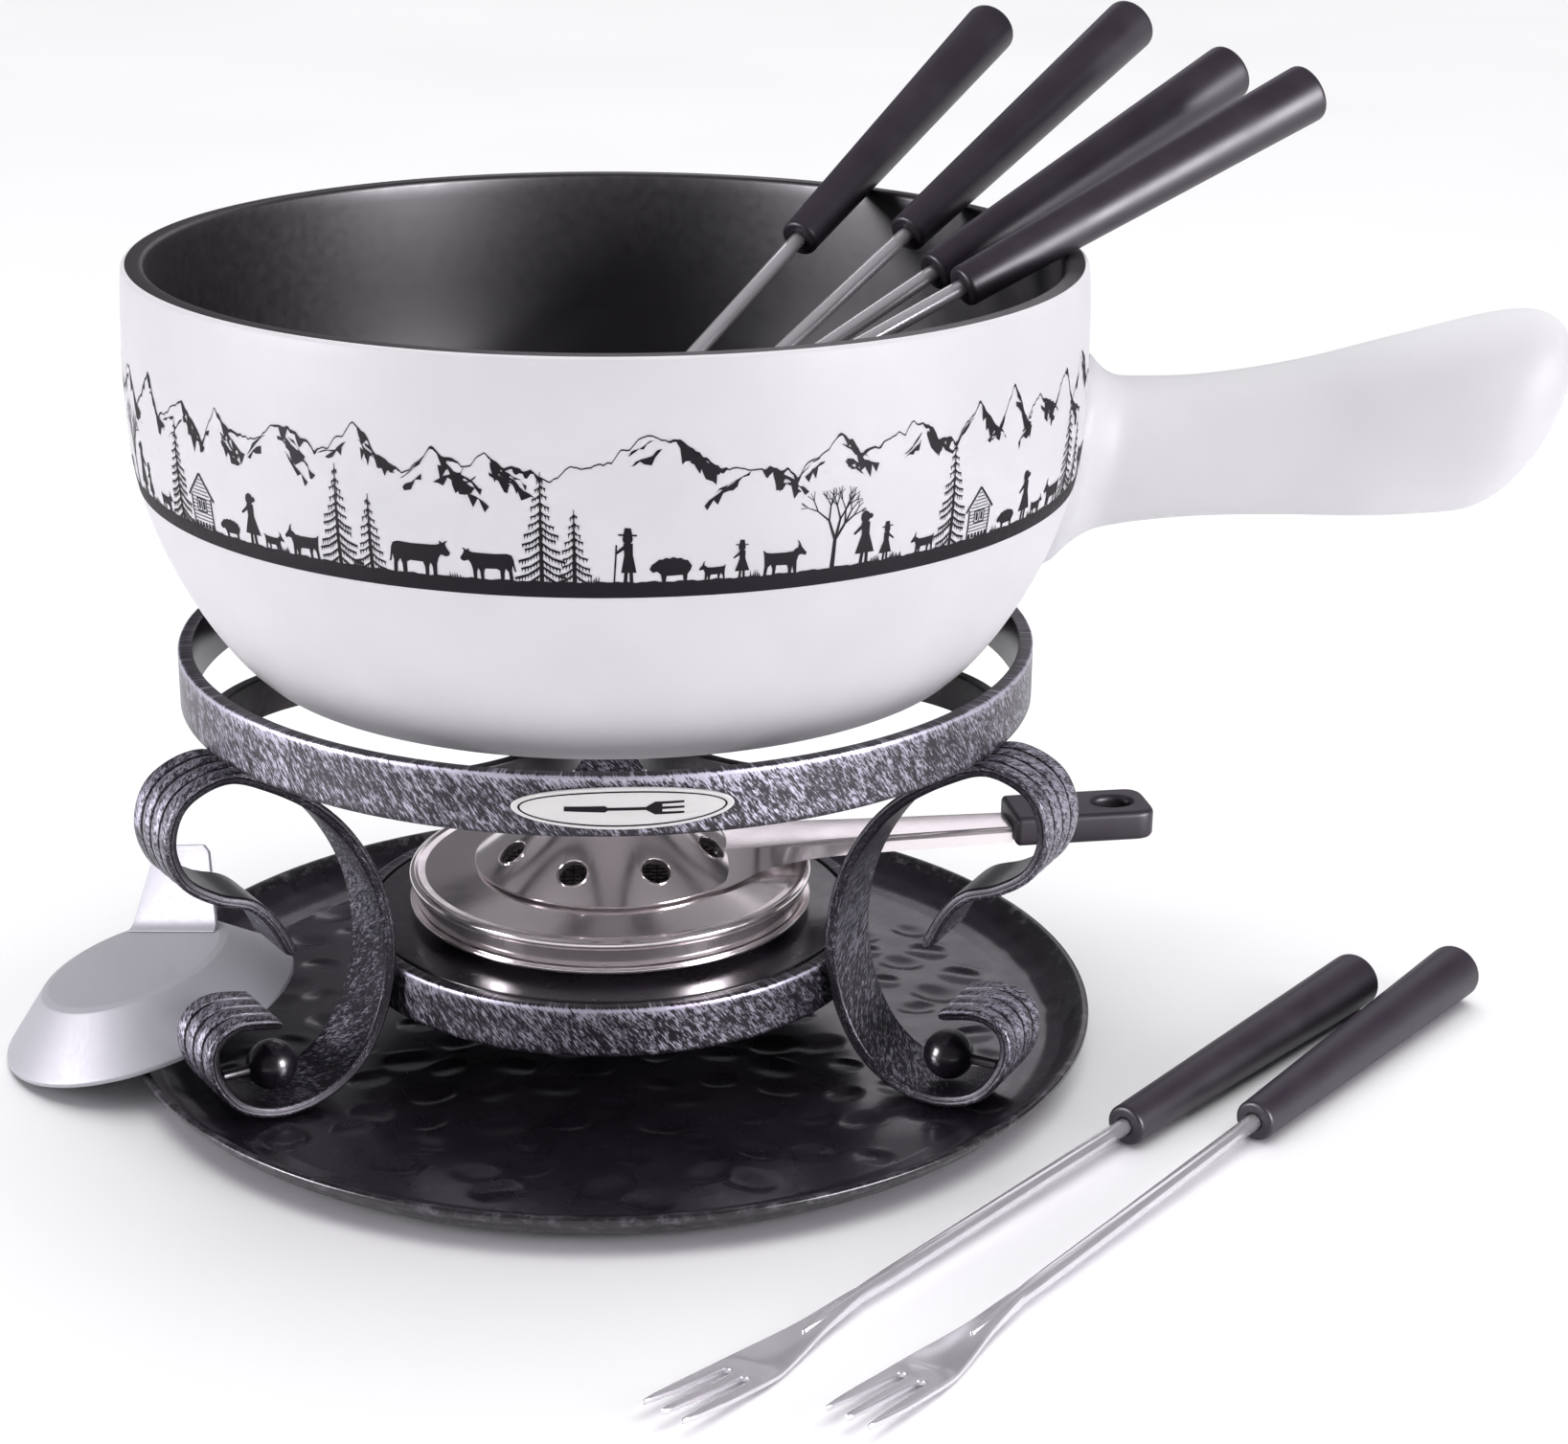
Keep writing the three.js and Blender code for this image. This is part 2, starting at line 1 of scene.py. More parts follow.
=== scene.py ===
"""Fondue pot set: a pot on a scrolled iron stand over a spirit burner, with a tray, forks and a snuffer lid.

Shapes are worked out in millimetres, in the frame's axes, and become metres when their mesh is made.
"""

from contextlib import contextmanager
from math import atan2, ceil, cos, degrees, hypot, pi, radians, sin, tan

import bmesh
import bpy
import numpy as np
from mathutils import Matrix, Vector

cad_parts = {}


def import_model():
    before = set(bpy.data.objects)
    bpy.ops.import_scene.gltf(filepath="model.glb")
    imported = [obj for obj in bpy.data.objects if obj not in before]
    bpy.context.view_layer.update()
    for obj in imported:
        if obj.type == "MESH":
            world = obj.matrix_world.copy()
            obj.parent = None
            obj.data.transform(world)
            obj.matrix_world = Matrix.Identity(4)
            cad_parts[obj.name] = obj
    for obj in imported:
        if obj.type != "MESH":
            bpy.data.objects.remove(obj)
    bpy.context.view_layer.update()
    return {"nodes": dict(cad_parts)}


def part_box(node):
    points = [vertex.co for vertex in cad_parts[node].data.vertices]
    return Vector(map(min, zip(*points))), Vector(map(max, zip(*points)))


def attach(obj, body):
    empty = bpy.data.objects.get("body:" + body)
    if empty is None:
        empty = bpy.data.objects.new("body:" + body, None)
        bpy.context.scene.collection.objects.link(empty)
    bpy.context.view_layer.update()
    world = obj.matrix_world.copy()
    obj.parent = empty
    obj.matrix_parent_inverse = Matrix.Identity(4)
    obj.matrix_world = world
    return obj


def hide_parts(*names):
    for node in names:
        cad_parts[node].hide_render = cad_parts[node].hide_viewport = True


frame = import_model()

MM = 0.001
UP = Vector((0, 0, 1))
TURN_STEPS = 256  # round a turned piece, where nothing else is said
TRAY_STEPS = 512
HOOP_STEPS = 288
BURNER_STEPS = 192


# ---- Measures from the frame ----


def box_mm(node):
    low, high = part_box(node)
    return low / MM, high / MM


def centre_mm(node):
    low, high = box_mm(node)
    return (low + high) / 2


def points_mm(node):
    return np.array([v.co for v in frame["nodes"][node].data.vertices], float) / MM


def from_axis(points):
    """How far each point is from the Z axis."""
    return np.hypot(points[:, 0], points[:, 1])


# ---- Outlines ----


def rounded(points, radius, closed=False, steps=5):
    """An outline with its corners rounded. radius is one number, or one for each point."""
    points = [Vector(p) for p in points]
    count = len(points)
    radii = radius if isinstance(radius, list) else [radius] * count
    result = []
    for i, point in enumerate(points):
        before = points[i - 1] - point
        after = points[(i + 1) % count] - point
        at_end = not closed and i in (0, count - 1)
        is_corner = not at_end and radii[i] > 0 and min(before.length, after.length) >= 1e-6
        half = before.angle(after) / 2 if is_corner else pi / 2
        if half > radians(88):  # the outline is as good as straight here
            result.append(tuple(point))
            continue
        reach = min(radii[i] / tan(half), 0.48 * before.length, 0.48 * after.length)
        start = point + before.normalized() * reach
        stop = point + after.normalized() * reach
        for k in range(steps + 1):
            t = k / steps
            result.append(tuple(start * (1 - t) ** 2 + point * 2 * t * (1 - t) + stop * t**2))
    return result


def catmull(points, samples):
    """A smooth curve through points (uniform Catmull-Rom), as samples + 1 evenly spaced points."""
    points = np.array(points, float)
    padded = np.vstack([points[:1], points, points[-1:]])
    fine = []
    for i in range(len(points) - 1):
        p0, p1, p2, p3 = padded[i : i + 4]
        for t in np.linspace(0, 1, 24, endpoint=False):
            bend = (2 * p0 - 5 * p1 + 4 * p2 - p3) * t**2 + (3 * p1 - p0 - 3 * p2 + p3) * t**3
            fine.append((2 * p1 + (p2 - p0) * t + bend) / 2)
    return evenly(fine + [points[-1]], samples)


def evenly(points, samples):
    points = np.array(points, float)
    lengths = np.linalg.norm(np.diff(points, axis=0), axis=1)
    along = np.concatenate([[0], np.cumsum(lengths)])
    wanted = np.linspace(0, along[-1], samples + 1)
    return np.column_stack([np.interp(wanted, along, points[:, k]) for k in range(points.shape[1])])


def smoothstep(low, high, x):
    t = min(max((x - low) / (high - low), 0), 1)
    return t * t * (3 - 2 * t)


def ellipse(across, up, steps=72, x=0.0, y=0.0):
    angles = [2 * pi * k / steps for k in range(steps)]
    return [(x + across * cos(a), y + up * sin(a)) for a in angles]


# ---- Shapes: pairs of vertices and faces ----


def turned(profile, steps=TURN_STEPS, closed=False):
    """A profile of radius and height, turned about Z."""
    vertices = []
    rows = []
    for radius, height in profile:
        count = 1 if radius < 1e-6 else steps  # a point on the axis is one vertex
        rows.append([len(vertices) + k % count for k in range(steps)])
        angles = [2 * pi * k / steps for k in range(count)]
        vertices += [(radius * cos(a), radius * sin(a), height) for a in angles]
    faces = []
    for a, b in zip(rows, rows[1:] + rows[: int(closed)]):
        for k in range(steps):
            n = (k + 1) % steps
            face = tuple(dict.fromkeys((a[k], a[n], b[n], b[k])))
            if len(face) > 2:
                faces.append(face)
    return vertices, faces


def lofted(rings):
    """Closed rings of points, joined in order and capped at both ends."""
    count = len(rings[0])
    vertices = [p for ring in rings for p in ring]
    faces = []
    last = len(vertices) - count
    for start in range(0, last, count):
        for k in range(count):
            n = (k + 1) % count
            faces.append((start + k, start + n, start + count + n, start + count + k))
    for start in (0, last):
        faces.extend((start + k, start + (k + 1) % count, len(vertices)) for k in range(count))
        vertices.append(tuple(np.mean(vertices[start : start + count], axis=0)))
    return vertices, faces


def merged(shapes):
    vertices = []
    faces = []
    for more_vertices, more_faces in shapes:
        faces += [tuple(len(vertices) + k for k in face) for face in more_faces]
        vertices += more_vertices
    return vertices, faces


def along_x(shape):
    """A turned shape laid along X."""
    vertices, faces = shape
    return [(z, x, y) for x, y, z in vertices], faces


# ---- Objects ----


def add_object(name, data):
    thing = bpy.data.objects.new(name, data)
    bpy.context.scene.collection.objects.link(thing)
    return thing


@contextmanager
def editing(mesh):
    """The mesh as a bmesh, written back at the end."""
    shape = bmesh.new()
    shape.from_mesh(mesh)
    yield shape
    shape.to_mesh(mesh)
    shape.free()


def smoothed(thing, sharp=38):
    """Smooth shading, except over edges sharper than an angle in degrees."""
    thing.data.shade_smooth()
    thing.data.set_sharp_from_angle(angle=radians(sharp))
    return thing


def make_mesh(name, shape, *materials, slots=None, sharp=38):
    vertices, faces = shape
    mesh = bpy.data.meshes.new(name)
    mesh.from_pydata([Vector(v) * MM for v in vertices], [], faces)
    for material in materials:
        mesh.materials.append(material)
    if slots is not None:
        mesh.polygons.foreach_set("material_index", slots)
    with editing(mesh) as edit:
        bmesh.ops.recalc_face_normals(edit, faces=edit.faces)
    return smoothed(add_object(name, mesh), sharp)


def keep(thing, body, slot, *nodes):
    """A piece that rides on a body; its slot is not used. A mark that is only printed on replaces no nodes."""
    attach(thing, body)
    if nodes:
        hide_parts(*nodes)


def evaluated(thing):
    """A new mesh of what the object's modifiers or curve settings make."""
    graph = bpy.context.evaluated_depsgraph_get()
    return bpy.data.meshes.new_from_object(thing.evaluated_get(graph), depsgraph=graph)


def combined(thing, other, operation):
    """The first solid with the other one added or taken away."""
    modifier = thing.modifiers.new("solid", "BOOLEAN")
    modifier.operation = operation
    modifier.solver = "MANIFOLD"
    modifier.object = other
    mesh = evaluated(thing)
    thing.modifiers.clear()
    thing.data = mesh
    bpy.data.objects.remove(other)
    return smoothed(thing)


def joined(first, *others):
    """Several objects' meshes as one object's."""
    with editing(first.data) as shape:
        for thing in others:
            shape.from_mesh(thing.data)
    for thing in others:
        bpy.data.objects.remove(thing)
    return smoothed(first)


def flat_shape(name, outlines, thickness, rounding, material, bevel_steps=3):
    """A flat piece in the XY plane, centred on Z = 0. The outlines after the first are holes."""
    curve = bpy.data.curves.new(name, "CURVE")
    curve.dimensions = "2D"
    curve.fill_mode = "BOTH"
    curve.extrude = (thickness / 2 - rounding) * MM
    curve.bevel_depth = rounding * MM
    curve.bevel_resolution = bevel_steps
    curve.offset = -rounding * MM
    for outline in outlines:
        spline = curve.splines.new("POLY")
        spline.points.add(len(outline) - 1)
        for point, (x, y) in zip(spline.points, outline):
            point.co = (x * MM, y * MM, 0, 1)
        spline.use_cyclic_u = True
    holder = add_object(name, curve)
    mesh = evaluated(holder)
    bpy.data.objects.remove(holder)
    with editing(mesh) as shape:
        bmesh.ops.remove_doubles(shape, verts=shape.verts, dist=1e-6)
        bmesh.ops.recalc_face_normals(shape, faces=shape.faces)
    mesh.materials.clear()
    mesh.materials.append(material)
    return add_object(name, mesh)


def slice_up(shape, spacing, axis):
    """Cuts a bmesh by planes square to one axis, so that it can bend."""
    values = [v.co[axis] for v in shape.verts]
    normal = Vector(np.eye(3)[axis])
    for k in range(ceil(min(values) / spacing), int(max(values) / spacing) + 1):
        geometry = shape.verts[:] + shape.edges[:] + shape.faces[:]
        bmesh.ops.bisect_plane(
            shape, geom=geometry, plane_co=normal * k * spacing, plane_no=normal, dist=1e-7
        )


# ---- Materials ----


class Finish:
    """A Principled material with short ways to add nodes. Spaces in names of sockets are written as _."""

    def __init__(self, name, color, roughness, metallic=0.0, **sockets):
        self.material = bpy.data.materials.new(name)
        self.material.use_nodes = True
        self.tree = self.material.node_tree
        self.shader = self.tree.nodes["Principled BSDF"]
        self.place = self.add("ShaderNodeTexCoord", "Object")
        self.fill(self.shader, Base_Color=(*color, 1), Roughness=roughness, Metallic=metallic, **sockets)

    def fill(self, node, **inputs):
        for name, value in inputs.items():
            self.fill_socket(node.inputs[name.replace("_", " ")], value)

    def fill_socket(self, socket, value):
        if isinstance(value, bpy.types.NodeSocket):
            self.tree.links.new(value, socket)
        else:
            socket.default_value = value

    def add(self, kind, output=0, **inputs):
        node = self.tree.nodes.new(kind)
        self.fill(node, **inputs)
        return node.outputs[output]

    def math(self, operation, a, b, clamp=False):
        node = self.tree.nodes.new("ShaderNodeMath")
        node.operation = operation
        node.use_clamp = clamp
        self.fill_socket(node.inputs[0], a)
        self.fill_socket(node.inputs[1], b)
        return node.outputs[0]

    def noise(self, per_metre, detail=3.0, roughness=0.55, stretch=None, place=None):
        place = place or self.place
        if stretch:
            place = self.add("ShaderNodeMapping", Vector=place, Scale=stretch)
        return self.add(
            "ShaderNodeTexNoise", Vector=place, Scale=per_metre, Detail=detail, Roughness=roughness
        )

    def ranged(self, value, low, high, to_low, to_high):
        limits = {"From_Min": low, "From_Max": high, "To_Min": to_low, "To_Max": to_high}
        return self.add("ShaderNodeMapRange", Value=value, **limits)

    def mixed(self, share, a, b):
        node = self.tree.nodes.new("ShaderNodeMix")
        node.data_type = "RGBA"
        self.fill(node, Factor=share, A=(*a, 1), B=(*b, 1))
        return node.outputs[2]  # the colour, after the results for other kinds of data

    def attribute(self, name, output):
        node = self.tree.nodes.new("ShaderNodeAttribute")
        node.attribute_name = name
        return node.outputs[output]

    def bump(self, height, depth, strength):
        """A bump with its depth in millimetres."""
        normal = self.add("ShaderNodeBump", Strength=strength, Distance=depth * MM, Height=height)
        self.fill(self.shader, Normal=normal)


def varied(name, color, roughness, metallic=0.0, cloud=None, dull=None, grain=None, **sockets):
    """A material varied by noise: its colour by cloud, its roughness by dull and its surface by grain.

    Each of the three starts with the noise's scale per metre, detail and so on. cloud goes on with the limits
    between which the noise leads from one colour to the other, dull with two roughnesses, and grain with the
    depth in millimetres and the strength of a bump.
    """
    finish = Finish(name, color, roughness, metallic, **sockets)
    if cloud:
        noise, low, high, dark, light = cloud
        share = finish.ranged(finish.noise(*noise), low, high, 0, 1)
        finish.fill(finish.shader, Base_Color=finish.mixed(share, dark, light))
    if dull:
        noise, least, most = dull
        finish.fill(finish.shader, Roughness=finish.ranged(finish.noise(*noise), 0.3, 0.7, least, most))
    if grain:
        noise, depth, strength = grain
        finish.bump(finish.noise(*noise), depth, strength)
    return finish.material


def brushed_iron():
    """Black paint with silver brushed over it.

    The mesh says where: "stroke" is the place, twisted so that strokes slant, and "silver" is how much of
    the surface the brush has reached.
    """
    finish = Finish("brushed_iron", (0.02, 0.018, 0.024), 0.4, 0.5)
    place = finish.attribute("stroke", "Vector")
    reach = finish.attribute("silver", "Fac")
    fine = finish.noise(1.0, 3.0, 0.6, (2600, 2600, 800), place)
    broad = finish.noise(1.0, 3.0, 0.6, (800, 800, 330), place)
    both = finish.math("ADD", finish.math("MULTIPLY", fine, 0.6), finish.math("MULTIPLY", broad, 0.4))
    spread = finish.ranged(both, 0.32, 0.68, 0, 1)
    over = finish.math("SUBTRACT", spread, finish.math("SUBTRACT", 1.0, reach))
    mask = finish.math("MULTIPLY", over, 3.2, clamp=True)
    finish.fill(
        finish.shader,
        Base_Color=finish.mixed(mask, (0.014, 0.011, 0.018), (0.43, 0.41, 0.49)),
        Metallic=finish.ranged(mask, 0, 1, 0.3, 0.5),
        Roughness=finish.ranged(mask, 0, 1, 0.36, 0.42),
    )
    finish.bump(mask, 0.1, 0.4)
    return finish.material


def steel(name, color, roughness, metallic=0.84):
    dull = ((90, 4, 0.6), roughness - 0.03, roughness + 0.06)
    return varied(name, color, roughness, metallic, dull=dull, grain=((160, 2), 0.04, 0.25))


BRUSHED_IRON = brushed_iron()
POLISHED_STEEL = steel("polished_steel", (0.82, 0.77, 0.775), 0.15)
FORK_STEEL = steel("fork_steel", (0.8, 0.78, 0.81), 0.18, 0.7)
# the screen's wire is painted near black: painted shade, so that the vents read dark
SHADE_DARK_WIRE = steel("shade_dark_wire", (0.035, 0.03, 0.03), 0.55)
WHITE_GLAZE = varied(
    "white_glaze", (0.7, 0.695, 0.715), 0.5, Specular_IOR_Level=0.25,
    cloud=((35, 2), 0.35, 0.65, (0.69, 0.685, 0.705), (0.72, 0.715, 0.73)),
    dull=((400, 4), 0.46, 0.54), grain=((260, 3), 0.05, 0.25),
)
BLACK_GLAZE = varied(
    "black_glaze", (0.014, 0.010, 0.014), 0.38, IOR=1.95,
    cloud=((60, 3), 0.3, 0.7, (0.006, 0.004, 0.006), (0.01, 0.007, 0.01)),
    dull=((350, 4), 0.4, 0.47), grain=((300, 3), 0.05, 0.2),
)
PRINT_BLACK = varied(
    "print_black", (0.007, 0.004, 0.008), 0.6, Specular_IOR_Level=0.15, dull=((500, 3), 0.5, 0.6)
)
INNER_IRON = varied(
    "inner_iron", (0.016, 0.013, 0.015), 0.42, 0.4,
    cloud=((180, 5, 0.65), 0.5, 0.75, (0.014, 0.011, 0.013), (0.06, 0.055, 0.06)),
    dull=((180, 5, 0.65), 0.34, 0.5), grain=((500, 3), 0.08, 0.3),
)
BLACK_ENAMEL = varied(
    "black_enamel", (0.014, 0.011, 0.017), 0.3, Coat_Weight=0.35, Coat_Roughness=0.13,
    cloud=((45, 3), 0.3, 0.7, (0.011, 0.008, 0.013), (0.022, 0.018, 0.026)),
    dull=((120, 4), 0.24, 0.36), grain=((220, 4), 0.12, 0.35),
)
# the tray's enamel on the rim: speckles where its edges have rubbed through to metal, and a lighter grey that
# is a painted sheen
TRAY_RIM_WEAR_AND_SHEEN = varied(
    "tray_rim_wear_and_sheen", (0.02, 0.018, 0.022), 0.3, 0.3, Coat_Weight=0.4, Coat_Roughness=0.2,
    cloud=((260, 5, 0.7), 0.5, 0.7, (0.018, 0.016, 0.02), (0.1454, 0.1378, 0.153)),
    dull=((260, 5, 0.7), 0.24, 0.42), grain=((300, 4), 0.1, 0.35),
)
BRUSHED_ONE_WAY = (900, 4, 0.6, (1, 0.12, 1))
SATIN_ALUMINIUM = varied(
    "satin_aluminium", (0.44, 0.44, 0.47), 0.54, 0.22,
    dull=(BRUSHED_ONE_WAY, 0.48, 0.6), grain=(BRUSHED_ONE_WAY, 0.02, 0.4),
)
BLACK_PLASTIC = varied(
    "black_plastic", (0.026, 0.019, 0.029), 0.44,
    cloud=((80, 3), 0.3, 0.7, (0.022, 0.015, 0.025), (0.03, 0.023, 0.033)),
    dull=((80, 3), 0.4, 0.48), grain=((1100, 3), 0.05, 0.35),
)
WICK_WOOL = varied(
    "wick_wool", (0.2, 0.18, 0.16), 0.95, Sheen_Weight=0.1,
    cloud=((1300, 5, 0.7), 0.3, 0.7, (0.1, 0.09, 0.08), (0.28, 0.26, 0.23)),
    grain=((1300, 5, 0.7), 0.5, 0.8),
)
LABEL_FACE = varied("label_face", (0.74, 0.73, 0.715), 0.4, Coat_Weight=0.2, dull=((400, 3), 0.34, 0.46))
FLOOR_WHITE = varied("floor_white", (0.92, 0.92, 0.925), 0.6, dull=((3, 2), 0.55, 0.65))


# ---- Tray ----

TRAY_SHEET = 2.2
DENT_COUNT = 150
RIM_DENT_COUNT = 44
GOLDEN_ANGLE = 2.39996


def tray_dents(radius):
    """Place, size, depth and direction of each hammer dent, spread like a sunflower's seeds and shaken."""
    random = np.random.RandomState(11)
    dents = []
    for i in range(DENT_COUNT):
        r = radius * ((i + 0.6) / DENT_COUNT) ** 0.5 + random.uniform(-2.5, 2.5)
        angle = i * GOLDEN_ANGLE + random.uniform(-0.06, 0.06)
        steep = random.choice([-1, 1]) * pi / 2 + random.uniform(-0.7, 0.7)
        size = random.uniform(3.4, 5.8)
        dents.append((r * cos(angle), r * sin(angle), size, 0.125 * size, steep))
    return dents


def rim_dents(radius):
    random = np.random.RandomState(5)
    dents = []
    for i in range(RIM_DENT_COUNT):
        angle = 2 * pi * (i + random.uniform(-0.3, 0.3)) / RIM_DENT_COUNT
        r = radius - random.uniform(6.5, 9)
        dents.append((r * cos(angle), r * sin(angle), random.uniform(3.2, 4.6), 0.28, angle))
    return dents


def dented(points, dents):
    """How far dents, each deeper and steeper on one side, take the points down."""
    drop = np.zeros(len(points))
    for x, y, size, depth, steep in dents:
        across = points[:, 0] - x
        away = points[:, 1] - y
        u = (across * cos(steep) + away * sin(steep)) / size
        v = (-across * sin(steep) + away * cos(steep)) / (size * 1.25)
        inside = np.clip(1 - (u**2 + v**2), 0, 1)
        lip = np.exp(-(((u - 1.08) / 0.16) ** 2) - (v / 0.75) ** 2)
        drop += depth * inside**0.8 * (1 + 0.95 * u) - 0.3 * depth * lip
    return drop


def tray():
    _, high = box_mm("tray")
    radius, top = high.x, high.z
    floor_edge = radius - 16
    brim = (radius - 1.9, top - 0.15)
    flat = [(r, TRAY_SHEET) for r in np.arange(0, floor_edge, 1.05)]
    rise = [(floor_edge, TRAY_SHEET), (radius - 10.7, 3.0), (radius - 6.7, 5.0), brim]
    rise = list(evenly(rounded(rise, [0, 8, 6, 0], steps=8), 22))
    lip = [brim, (radius - 0.9, top), (radius, top - 0.2), (radius, top - 1.4)]
    lip = rounded(lip, [0, 0.6, 0.6, 0], steps=4)
    under = [(radius, top - 1.4), (radius - 5, 3.6), (radius - 9.5, 1.0), (radius - 15.5, 0), (0, 0)]
    under = rounded(under, [0, 3, 4, 4, 0])
    vertices, faces = turned(flat + rise + lip[1:] + under[1:], TRAY_STEPS)
    points = np.array(vertices, float)
    upper = points[: 1 + (len(flat) - 1 + len(rise)) * TRAY_STEPS]
    fade = np.clip((radius - 2.2 - from_axis(upper)) / 2, 0, 1)
    upper[:, 2] -= fade * (dented(upper, tray_dents(floor_edge - 4)) + dented(upper, rim_dents(radius)))
    # the rim's top takes the lighter rim enamel: speckled wear with a painted sheen
    wear_and_sheen_from = (len(flat) + len(rise) - 4) * TRAY_STEPS
    wear_and_sheen_to = (len(flat) + len(rise) + len(lip)) * TRAY_STEPS
    slots = [int(wear_and_sheen_from < i < wear_and_sheen_to) for i in range(len(faces))]
    made = make_mesh("tray_hammered", (points, faces), BLACK_ENAMEL, TRAY_RIM_WEAR_AND_SHEEN, slots=slots, sharp=60)
    keep(made, "tray", "black_enamel", "tray")


# ---- Stand ----

STROKE_SLANT = 0.75  # sideways run of a brush stroke for each millimetre that it climbs


def add_brush_marks(mesh, strokes, silver):
    place = mesh.attributes.new("stroke", "FLOAT_VECTOR", "POINT")
    place.data.foreach_set("vector", (np.array(strokes, float) * MM).ravel().astype(np.float32))
    reach = mesh.attributes.new("silver", "FLOAT", "POINT")
    reach.data.foreach_set("value", np.array(silver, float).astype(np.float32))


def hoop(name, node):
    """A flat strap bent to a ring, with eased edges. The brush has caught its edges and its outside."""
    low, high = box_mm(node)
    outer, bottom, top = high.x, low.z, high.z
    inner = from_axis(points_mm(node)).min()
    middle = (bottom + top) / 2
    # radius, height and the share of silver, from the inside's foot round the outside to its top
    section = [
        (inner, bottom + 0.5, 0.12), (inner + 0.15, bottom + 0.12, 0.4), (inner + 0.5, bottom, 0.45),
        (outer - 0.7, bottom, 0.3), (outer - 0.2, bottom + 0.18, 0.36), (outer, bottom + 0.6, 0.42),
        (outer, bottom + 1.3, 0.5), (outer, bottom + 2.8, 0.53), (outer, middle, 0.49),
        (outer, top - 2.8, 0.53), (outer, top - 1.3, 0.64), (outer, top - 0.6, 0.92),
        (outer - 0.2, top - 0.18, 0.8), (outer - 0.7, top, 0.42), (inner + 0.5, top, 0.36),
        (inner + 0.15, top - 0.12, 0.3), (inner, top - 0.5, 0.14), (inner, middle, 0.04),
    ]
    vertices, faces = turned([(r, z) for r, z, _ in section], HOOP_STEPS, closed=True)
    wobble = 0.035 * np.random.RandomState(3).randn(HOOP_STEPS)
    strokes = []
    silver = []
    for i, (x, y, z) in enumerate(vertices):
        reach = section[i // HOOP_STEPS][2]
        turn = atan2(y, x) + STROKE_SLANT * (z - middle) / outer
        strokes.append((outer * cos(turn), outer * sin(turn), z))
        silver.append(reach + wobble[i % HOOP_STEPS] * (reach > 0.3))
    made = make_mesh(name, (vertices, faces), BRUSHED_IRON)
    add_brush_marks(made.data, strokes, silver)
    keep(made, "stand", "brushed_iron", node)


# Line that a leg's strap follows, from the upper scroll's tip to the foot scroll's: radius and height
LEG_PATH = [
    (93, 45), (97.5, 54), (103, 60), (111.5, 63.5), (119.3, 69.5), (122.2, 79), (118.5, 88.2), (108, 92.2),
    (97.5, 88.3), (86, 80.5), (77, 70), (70.5, 56), (68.3, 40), (70.8, 25), (77.5, 12.8), (87, 6.3),
    (98, 4.6), (108, 8.2), (114, 17), (114, 25), (108, 28.6), (97.5, 26.8),
]
LEG_SAMPLES = 200
LEG_WIDTH = 20
LEG_OUTER_FACE = 2  # from the line that the leg follows
LEG_INNER_FACE = 1
LEG_EDGE = 0.9
LEG_TIP = 1.4  # length over which the strap's ends thin out
GROOVES = (-5.1, 0.0, 5.1)  # where three grooves run along the scrolls, across the strap
GROOVE_DEPTH = 1.1
GROOVE_HALF = 0.55


def leg_section(groove):
    """Across and outwards, round the strap. Three grooves open in the outer face."""
    side = LEG_WIDTH / 2 - LEG_EDGE
    section = []
    for t in np.linspace(-side, side, 61):
        near = min(abs(t - g) for g in GROOVES)
        dip = groove * GROOVE_DEPTH * max(0, 1 - (near / GROOVE_HALF) ** 2)
        crown = groove * 0.35 * max(0, 1 - near / 2.55)
        section.append((t, LEG_OUTER_FACE - dip - crown))
    angles = [k * pi / 6 for k in range(1, 6)]
    corner = [(side + LEG_EDGE * sin(a), LEG_OUTER_FACE - LEG_EDGE + LEG_EDGE * cos(a)) for a in angles]
    corner += [(side + LEG_EDGE, 0.5)]
    angles = [-0.9 * a for a in angles]
    corner += [(side + LEG_EDGE * cos(a), LEG_EDGE - LEG_INNER_FACE + LEG_EDGE * sin(a)) for a in angles]
    section += corner + [(t, -LEG_INNER_FACE) for t in np.linspace(side, -side, 15)]
    return section + [(-t, n) for t, n in reversed(corner)]


def leg_silver(t, n, groove, in_c):
    """The share of silver at a place of the strap's section."""
    on_edge = smoothstep(7.6, 9.6, abs(t))
    if 0.5 < n < LEG_OUTER_FACE - 0.5 and abs(t) < 8:
        return 0.02
    if n > 1.0:
        return 0.46 + 0.12 * groove - 0.12 * on_edge
    if n > -0.8:
        return 0.36 - 0.06 * groove
    return 0.3 + 0.2 * in_c - 0.1 * on_edge


